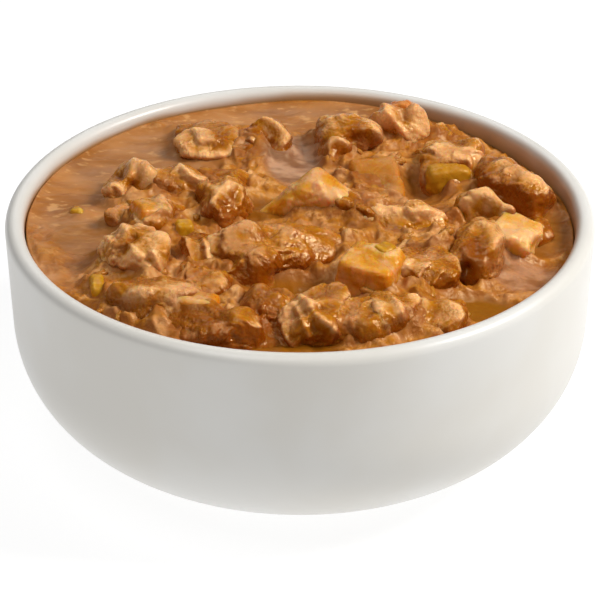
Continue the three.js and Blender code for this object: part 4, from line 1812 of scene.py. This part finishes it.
@dataclass
class Sauce:
    """The sauce: calm in its pools, heaped up with meat between the pieces, and closed below.

    It climbs the wall and every piece, and its curds run on from those of the pieces.
    """

    level: float = 57.2
    drop: float = 2.6
    drop_span: Span = (18.0, 62.0)
    climb: float = 1.5
    climb_width: float = 2.4
    wave: Triple = (0.35, 57.0, 70.0)  # height, and length along X and Y
    # x, y, radius and height of the swellings, and of the hollows where the height is negative
    mounds: tuple[tuple[float, float, float, float], ...] = (
        (-28, 27, 8, 0.8),
        (-6, 28, 9, 1.0),
        (24, 34, 8, 1.2),
        (36, 5, 8, 1.2),
        (-3, -3, 9, 0.5),
        (-31, -12, 7, 1.2),
        (10, -14, 8, 1.2),
        (-10, -37, 7, 0.6),
        (29, -40, 8, 1.0),
        (44, -45, 9, -0.6),
        (56, -27, 6, 1.2),
        (-52, -34, 8, 0.6),
        (3, -37, 6, -2.4),
        (32, -17, 7, 2.6),
        (50, -31, 6, 1.2),
        (20, 46, 6, 0.4),
        (49, -10, 6, 2.5),
        (35, -20, 5, 2.0),
        (41.5, -28, 4.5, -4.0),
        (22, -26, 4, 2.0),
        (-38, -36, 6, 2.5),
        (-38, 6, 6, 1.5),
        (-27, -51, 5, 2.0),
        (31.5, 16.5, 6, -2.5),
        (-51, -41, 4, -1.6),
        (-29, -13, 3.5, -2.0),
    )
    over_hollow: float = 0.15  # how far over the hollow's radius the sauce reaches
    below: tuple[float, ...] = (8.0, 20.0, 30.0, 40.0, 46.0)  # depths of the loops down the hollow
    rim_calm: float = 2.0  # width along the wall in which the ripples fade
    cling: float = 1.6
    cling_width: float = 2.0
    cling_waver: float = 0.6
    cling_waver_length: float = 4.0
    cling_seed: int = 6
    gap_fill: float = 2.6
    gap_width: float = 3.0
    thin_sinks: float = 0.8  # share of the climb that thin sauce loses
    foot: float = 0.8  # painted shade: how dark it is at the foot of a piece and in gaps
    foot_shade_width: float = 1.0
    # height and wavelengths of each set of ripples, and the push that bends them
    ripples: tuple[tuple[float, Triple], ...] = (
        (0.42, (13.0, 4.5, 12.0)),
        (0.10, (2.6, 2.6, 2.6)),
        (0.14, (6.0, 1.6, 6.0)),
    )
    ripple_warp: Span = (16.0, 4.0)
    ripple_seed: int = 5
    heap: float = 0.9  # how far the sauce stands up where it is full of meat
    curd: float = 2.0  # height of the curds there
    crags: Ridges = Ridges(1.6, 10.0, 0.55, Layer.SAUCE)
    shreds: Ridges = Ridges(0.9, 4.6, 0.5, Layer.TORN)
    crag_floor: Span = (-0.2, 0.3)  # level up to which the crags' hollows are filled, and its blend
    shred_patch: Span = (-0.5, 0.2)  # values of a noise between which a patch of shreds begins
    knob: Triple = (0.5, 2.7, 0.25)  # height, wavelength and mean of the small lumps
    thickest: float = 0.8  # share of the meat's finish where no pool is
    pale: Triple = (0.8, -0.3, 2.9)  # painted light on the crests: how pale they are, and the heights it runs between
    side_shade: Triple = (0.9, 0.4, 1.0)  # painted shade on the sides: how dark they are, and the normals it runs between
    cells: int = 300
    scraps: tuple[int, int] = (5000, 260)  # places tried, and how many beside pieces are kept
    scrap_half: Span = (0.6, 3.2)  # half length of a scrap
    scrap_few_long: float = 2.5  # how rare the long ones are
    scrap_near: Span = (0.1, 2.8)  # how far from a piece a scrap may lie
    scrap_calm: float = 0.12  # how calm its place may be
    scrap_inset: float = 1.5  # how far from the wall its middle stays
    scrap_warp: Span = (3.0, 1.4)
    scrap_seed: int = 8
    scrap_swell: Triple = (0.35, 0.8, 0.4)  # height and width for its half length, and least width
    # the thin pools lie where the sauce is in shade and paint it dark; the frothy ones paint sheen and
    # highlight
    pools: tuple[Pool, ...] = (
        Pool((-60, 16), (14, 24)),
        Pool((-44, 38), (26, 16), thin=0.15, froth_and_sheen=0.1),
        Pool((0, 60), (45, 9)),
        Pool((-2, 33), (8, 14), calm=0.9, froth_and_sheen=0.9),
        Pool((61, -4), (9, 13), calm=0.9, thin=0.75),
        Pool((31, 18.5), (7, 8), calm=0.6, thin=0.8, froth_and_sheen=0.6),
        Pool((28, -4), (7, 7), calm=0.35, froth_and_sheen=0.7),
        Pool((3, -36), (18, 6), calm=0.6, thin=1.0),
        Pool((-8, -64), (18, 7), calm=0.7, thin=1.0),
        Pool((-11, 4), (10, 6), calm=0.6, thin=0.9),
        Pool((-54, -9), (9, 9), calm=0.9, thin=0.45),
        Pool((44, -43), (9, 6), thin=1.0),
        Pool((41, -28), (4.5, 5), calm=0.5, thin=1.0),
        Pool((56, -27), (9, 8), calm=0.5, froth_and_sheen=0.9),
        Pool((-60, -16), (10, 20), calm=0.4, froth_and_sheen=0.25),
    )
    bowl: Bowl = field(default_factory=Bowl)
    placed: list[Placed] = field(default_factory=list)
    # of every scrap in the sauce: x, y and half length
    strewn: np.ndarray = field(default_factory=lambda: np.zeros((0, 3)))

    FAR = 99.0
    HEED = 9.0  # how far beyond its half length a piece is looked at

    def still_level(self, x: np.ndarray | float) -> np.ndarray:
        """Height of the sauce if it were smooth, which falls off to the right."""
        return self.level - self.drop * smooth_step(x, *self.drop_span)

    def level_at(self, x: np.ndarray, y: np.ndarray) -> np.ndarray:
        """Height of the uneven surface.

        still level + wave height * sin(2 pi x / length x + 1) * cos(2 pi y / length y) + every mound's
        height * exp(-distance^2 / radius^2) + climb * exp(-distance from the wall / climb width).

        Args:
            x: places across.
            y: places back to front.

        Returns:
            The heights.
        """
        swell, length_x, length_y = self.wave
        wave = np.sin(2 * math.pi * x / length_x + 1) * np.cos(2 * math.pi * y / length_y)
        level = self.still_level(x) + swell * wave
        for mound_x, mound_y, radius, height in self.mounds:
            level = level + height * np.exp(-((x - mound_x) ** 2 + (y - mound_y) ** 2) / radius**2)
        edge = np.clip(self.bowl.inner_radius - np.hypot(x, y), 0.0, None)
        return level + self.climb * np.exp(-edge / self.climb_width)

    def place(self, morsel: Morsel) -> Placed:
        """Sets a morsel so that its smooth form's top stands `rise` over the still sauce.

        Args:
            morsel: the piece of food.

        Returns:
            The piece in its place.
        """
        form = morsel.form()
        height = float(self.still_level(morsel.at[0])) + morsel.rise - form.top()
        placed = Placed(morsel, form, np.array([*morsel.at, height], float))
        self.placed.append(placed)
        return placed

    def clearances(self, points: np.ndarray, without: Placed | None = None) -> np.ndarray:
        """How far each point is from the nearest and the next piece; 0 inside a piece.

        Args:
            points: N by 3 array.
            without: a piece that doesn't count.

        Returns:
            N by 2 distances, held to FAR.
        """
        nearest = np.full((len(points), 2), self.FAR)
        for placed in self.placed:
            if placed is without:
                continue
            reach = placed.form.half.max() + self.HEED
            near = np.hypot(*(points[:, :2] - placed.centre[:2]).T) < reach
            if near.any():
                clearance = np.clip(placed.clearance(points[near]), 0.0, None)
                both = np.column_stack([nearest[near], clearance])
                nearest[near] = np.sort(both, axis=1)[:, :2]
        return nearest

    def cling_at(self, points: np.ndarray) -> np.ndarray:
        """How far the sauce climbs: cling * exp(-nearest / width), and more in gaps between pieces.

        The gap adds gap fill * exp(-(nearest + next) / gap width).  The cling wavers with a noise.

        Args:
            points: N by 3 array.

        Returns:
            N heights.
        """
        nearest, following = self.clearances(points).T
        noise = GradientNoise(self.cling_seed)
        waver = 1.0 + self.cling_waver * noise.at(points, self.cling_waver_length)
        climb = self.cling * waver * np.exp(-nearest / self.cling_width)
        climb = climb + self.gap_fill * np.exp(-(nearest + following) / self.gap_width)
        return climb * (1.0 - self.thin_sinks * self.pooled(points, "thin"))

    def foot_shade_at(self, points: np.ndarray) -> np.ndarray:
        """How dark the painted shade makes the sauce: foot * exp(-(nearest / width)^2), and so over the gap's
        width.

        Args:
            points: N by 3 array.

        Returns:
            N values from 0 to 1.
        """
        nearest, following = self.clearances(points).T
        close = np.exp(-((nearest / self.foot_shade_width) ** 2))
        narrow = np.exp(-(((nearest + following) / self.gap_width) ** 2))
        return self.foot * np.maximum(close, narrow)

    def pooled(self, points: np.ndarray, what: str) -> np.ndarray:
        """The greatest share of any pool at each point, times the pool's own `what`."""
        return np.max([getattr(pool, what) * pool.share(points) for pool in self.pools], axis=0)

    def strew(self) -> None:
        """Draws places over the bowl and keeps those just beside pieces as places of scraps."""
        tries, kept = self.scraps
        draw = np.random.default_rng(self.scrap_seed)
        radius = (self.bowl.inner_radius - self.scrap_inset) * np.sqrt(draw.random(tries))
        angle = 2.0 * math.pi * draw.random(tries)
        x, y = radius * np.cos(angle), radius * np.sin(angle)
        points = np.stack([x, y, self.level_at(x, y)], axis=1)
        nearest = self.clearances(points)[:, 0]
        small, large = self.scrap_half
        half = small + (large - small) * draw.random(tries) ** self.scrap_few_long
        closest, farthest = self.scrap_near
        found = (nearest > closest) & (nearest < farthest)
        found &= self.pooled(points, "calm") < self.scrap_calm
        self.strewn = np.column_stack([x, y, half])[found][:kept]

    def heaped_at(self, points: np.ndarray, noise: GradientNoise, bent: np.ndarray) -> np.ndarray:
        """How far the sauce stands up where it is full of meat.

        heap + curds, which run on from the pieces' own, + crags over their filled hollows + shreds in
        patches + small lumps.

        Args:
            points: N by 3 array.
            noise: the sauce's own noise.
            bent: the points pushed about by it.

        Returns:
            N heights.
        """
        meat = RELIEFS[Kind.CHICKEN]
        shared = GradientNoise(Placed.SEED)
        curds = meat.curds(shared, shared.warp(points, *meat.WARP))
        floor, blend = self.crag_floor
        crags = soft_maximum(self.crags.over(noise, bent), np.full(len(points), floor), blend)
        patch = smooth_step(noise.at(points + Layer.PATCH, meat.PATCH_LENGTH), *self.shred_patch)
        heaped = self.heap + self.curd * curds + crags + patch * self.shreds.over(noise, bent)
        height, length, mean = self.knob
        return heaped + height * (np.abs(noise.at(bent + Layer.KNOB, length)) - mean)

    def ripple_at(self, points: np.ndarray) -> np.ndarray:
        """Height over the level: ripples, the heap outside calm pools, and a swelling at each scrap.

        Args:
            points: N by 3 array.

        Returns:
            N heights.
        """
        noise = GradientNoise(self.ripple_seed)
        bent = noise.warp(points, *self.ripple_warp)
        height = sum(tall * noise.at(bent, lengths) for tall, lengths in self.ripples)
        height += (1.0 - self.pooled(points, "calm")) * self.heaped_at(points, noise, bent)
        ragged = noise.warp(points, *self.scrap_warp)
        tall, wide, least = self.scrap_swell
        for x, y, half in self.strewn:
            apart = (ragged[:, 0] - x) ** 2 + (ragged[:, 1] - y) ** 2
            height += tall * half * np.exp(-apart / (wide * half + least) ** 2)
        return height

    def surface_at(self, x: np.ndarray, y: np.ndarray) -> np.ndarray:
        """Points of the sauce's worked surface: its level, the climb up the pieces and the ripples.

        Args:
            x: N places across.
            y: N places back to front.

        Returns:
            N by 3 array.
        """
        points = np.stack([x, y, self.level_at(x, y)], axis=1)
        inside = smooth_step(self.bowl.inner_radius - np.hypot(x, y), 0.0, self.rim_calm)
        points[:, 2] += self.cling_at(points) + inside * self.ripple_at(points)
        return points

    def build(self, bowl: Bowl) -> bpy.types.Object:
        """The closed body of sauce: the sheet at its level, its rim carried down the bowl's hollow.

        Args:
            bowl: the bowl that it fills.

        Returns:
            The sauce, standing for its CAD node.
        """
        sheet = Sheet(self.cells)
        share, angle = sheet.disc()
        radius = share * (bowl.inner_radius + self.over_hollow)
        top = self.surface_at(radius * np.cos(angle), radius * np.sin(angle))
        # painted light on the crests of the ripples, and painted shade on the steep sides, at the foot of
        # each piece and in gaps
        pale, pale_low, pale_high = self.pale
        dark, dark_low, dark_high = self.side_shade
        sides = dark * (1.0 - smooth_step(sheet.normals(top)[:, 2], dark_low, dark_high))
        marks = {
            "thin": self.pooled(top, "thin"),
            "froth_and_sheen": self.pooled(top, "froth_and_sheen"),
            "thick": self.thickest * (1.0 - self.pooled(top, "calm")),
            "relief": pale * smooth_step(self.ripple_at(top), pale_low, pale_high),
            "painted_shade": np.maximum(sides, self.foot_shade_at(top)),
        }
        rim = top[sheet.rim()]
        loops = []
        for depth in self.below:
            loop = rim.copy()
            loop[:, 2] -= depth
            fit = (bowl.hollow_radius(loop[:, 2]) + self.over_hollow) / np.hypot(loop[:, 0], loop[:, 1])
            loop[:, :2] *= fit[:, None]
            loops.append(loop)
        points = np.concatenate([top, *loops, [[0.0, 0.0, bowl.floor - self.over_hollow]]])
        below = len(points) - len(top)
        marks = {key: np.append(values, np.zeros(below)) for key, values in marks.items()}
        piece = make_piece("sauce_surface", points, sheet.faces(len(loops)), Gravy().material(), marks)
        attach(piece, "root")
        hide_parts("sauce")
        return piece


@dataclass(frozen=True)
class Scraps:
    """Shreds and crumbs that lie half sunk in the sauce close to the pieces, joined in one mesh."""

    cells: int = 8
    shortest: float = 2.1  # half length; shorter ones only swell the sauce
    sunk: float = 0.8  # share of the half thickness by which a centre lies under the surface
    tip: float = 0.8  # share of it at which the sheet closes
    wide: Span = (0.28, 0.2)  # least half width for the half length, and how much more is drawn
    thick: Span = (0.24, 0.16)  # and so for the half thickness
    corner: float = 3.0
    bent: float = 0.3
    bent_length: float = 1.6
    bent_seed: int = 31
    apart: float = 50.0  # how far apart in the noise two scraps are taken
    tilt: float = 0.5
    contrast: float = 1.6
    soaked: Span = (0.85, 0.9)  # how brown the foot is, and up to what height
    seed: int = 21

    def build(self, sauce: Sauce, material: bpy.types.Material) -> bpy.types.Object:
        """Makes every scrap a bent superellipsoid, all in one array of scraps by points.

        Point = centre + turn (direction * radius), radius = (sum |d_i / half_i|^c)^(-1/c) * (1 + bent *
        noise), c the corner, with the noise taken at another place for each scrap.

        Args:
            sauce: the sauce they lie in, with its scraps already strewn.
            material: their finish.

        Returns:
            The joined scraps.
        """
        draw = np.random.default_rng(self.seed)
        strewn = sauce.strewn[sauce.strewn[:, 2] > self.shortest]
        number = len(strewn)
        centres = sauce.surface_at(strewn[:, 0], strewn[:, 1])
        drawn = [least + more * draw.random(number) for least, more in (self.wide, self.thick)]
        half = strewn[:, 2:3] * np.stack([np.ones(number), *drawn], axis=1)
        sheet = Sheet(self.cells)
        directions = sheet.dome(Morsel.SUNK)
        power = self.corner
        radius = np.sum(np.abs(directions[None] / half[:, None]) ** power, axis=2) ** (-1 / power)
        local = directions[None] * radius[:, :, None]
        shifted = (local + self.apart * np.arange(number)[:, None, None]).reshape(-1, 3)
        bend = self.bent * GradientNoise(self.bent_seed).at(shifted, self.bent_length).reshape(number, -1)
        tips = np.zeros((number, 1, 3))
        tips[:, 0, 2] = -self.tip * half[:, 2]
        local = np.concatenate([local * (1.0 + bend[:, :, None]), tips], axis=1)
        turn = 2.0 * math.pi * draw.random(number)[:, None]
        tilt = self.tilt * (draw.random(number)[:, None] - 0.5)
        along, across, up = np.moveaxis(local, 2, 0)
        x = along * np.cos(turn) - across * np.sin(turn)
        y = along * np.sin(turn) + across * np.cos(turn)
        z = up + tilt * along - self.sunk * half[:, 2:3]
        points = np.stack([x, y, z], axis=2) + centres[:, None]
        # painted light: each scrap is paler where it bulges
        pale = np.clip(self.contrast * (bend + self.bent), 0.0, 1.0)
        relief = np.concatenate([pale, np.zeros((number, 1))], axis=1)
        brown, height = self.soaked
        marks = {"relief": relief.ravel(), "sauce": brown * (1.0 - smooth_step(z, 0.0, height)).ravel()}
        starts = local.shape[1] * np.arange(number)[:, None, None]
        faces = [(part[None] + starts).reshape(-1, part.shape[1]) for part in sheet.faces(0)]
        piece = make_piece("scraps", points.reshape(-1, 3), faces, material, marks)
        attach(piece, "root")
        return piece


# ------------------------------------------------------------------ the studio


@dataclass(frozen=True)
class Lamp:
    """A square soft light: where it is, which way round the bowl, and how bright."""

    name: str
    azimuth: float
    elevation: float
    distance: float
    size: float
    power: float
    colour: Colour = (1.0, 1.0, 1.0)

    def build(self, aim: Triple) -> None:
        """Hangs the lamp and turns it to `aim`; azimuth 0 is in front and 90 to the right.

        Args:
            aim: the point it shines at, in millimetres.
        """
        data = bpy.data.lights.new(self.name, "AREA")
        data.shape = "SQUARE"
        data.size = self.size * METRE
        data.energy = self.power
        data.color = self.colour
        lamp = bpy.data.objects.new(self.name, data)
        around, up = math.radians(self.azimuth), math.radians(self.elevation)
        away = np.array([math.sin(around) * math.cos(up), -math.cos(around) * math.cos(up), math.sin(up)])
        place = np.array(aim) + self.distance * away
        lamp.location = place * METRE
        lamp.rotation_mode = "QUATERNION"
        from_lamp = Vector((-away).tolist())
        lamp.rotation_quaternion = from_lamp.to_track_quat("-Z", "Y")
        bpy.context.scene.collection.objects.link(lamp)


@dataclass
class Studio:
    """Camera, floor, lamps and the even light all round."""

    aim: Triple = (0.0, 0.0, 45.0)
    near_clip: float = 0.01  # metres
    floor_size: float = 5000.0
    floor_colour: Colour = (0.30, 0.30, 0.30)
    floor_roughness: float = 0.9
    floor_glow: float = 0.82
    sky: float = 0.13
    lamps: tuple[Lamp, ...] = (
        Lamp("key", azimuth=85, elevation=46, distance=900, size=280, power=8.3, colour=(1.0, 0.98, 0.95)),
        Lamp("top", azimuth=-35, elevation=64, distance=900, size=500, power=2.7),
        Lamp("back", azimuth=190, elevation=40, distance=900, size=400, power=0.6),
    )

    def build(self) -> None:
        """Sets up everything round the object."""
        scene = bpy.context.scene
        scene.view_settings.view_transform = "Standard"
        data = bpy.data.cameras.new("camera")
        data.sensor_width = SEAT.sensor
        data.lens = SEAT.focal
        data.clip_start = self.near_clip
        camera = bpy.data.objects.new("camera", data)
        camera.location = tuple(v * METRE for v in SEAT.place)
        camera.rotation_euler = (math.radians(90.0 - SEAT.pitch), 0.0, 0.0)
        scene.collection.objects.link(camera)
        scene.camera = camera
        world = bpy.data.worlds.new("studio")
        world.use_nodes = True
        light = world.node_tree.nodes["Background"]
        light.inputs["Color"].default_value = (1.0, 1.0, 1.0, 1.0)
        light.inputs["Strength"].default_value = self.sky
        scene.world = world
        for lamp in self.lamps:
            lamp.build(self.aim)
        self.build_floor()

    def build_floor(self) -> None:
        """A plain pale floor."""
        half = self.floor_size / 2
        corners = np.array([[-half, -half, 0], [half, -half, 0], [half, half, 0], [-half, half, 0]], float)
        graph = Graph("pale_floor")
        graph.set(Base_Color=self.floor_colour, Roughness=self.floor_roughness, Specular_IOR_Level=0.0)
        graph.set(Emission_Color=(1.0, 1.0, 1.0), Emission_Strength=self.floor_glow)
        floor = make_piece("floor", corners, [np.array([[0, 1, 2, 3]])], graph.material)


# ------------------------------------------------------------------ all of it


def main() -> None:
    """Builds the bowl, the pieces, the sauce, its scraps and the studio, in that order."""
    logging.basicConfig(level=logging.INFO, format="%(name)s: %(message)s")
    bowl = Bowl()
    sauce = Sauce(bowl=bowl)
    bowl.build(sauce)
    materials = {kind: kind.finish.material() for kind in Kind}
    for placed in [sauce.place(morsel) for morsel in MORSELS]:
        placed.build(sauce, bowl, materials[placed.morsel.kind])
    sauce.strew()
    sauce.build(bowl)
    Scraps().build(sauce, materials[Kind.CHICKEN])
    Studio().build()


if __name__ == "__main__":
    main()
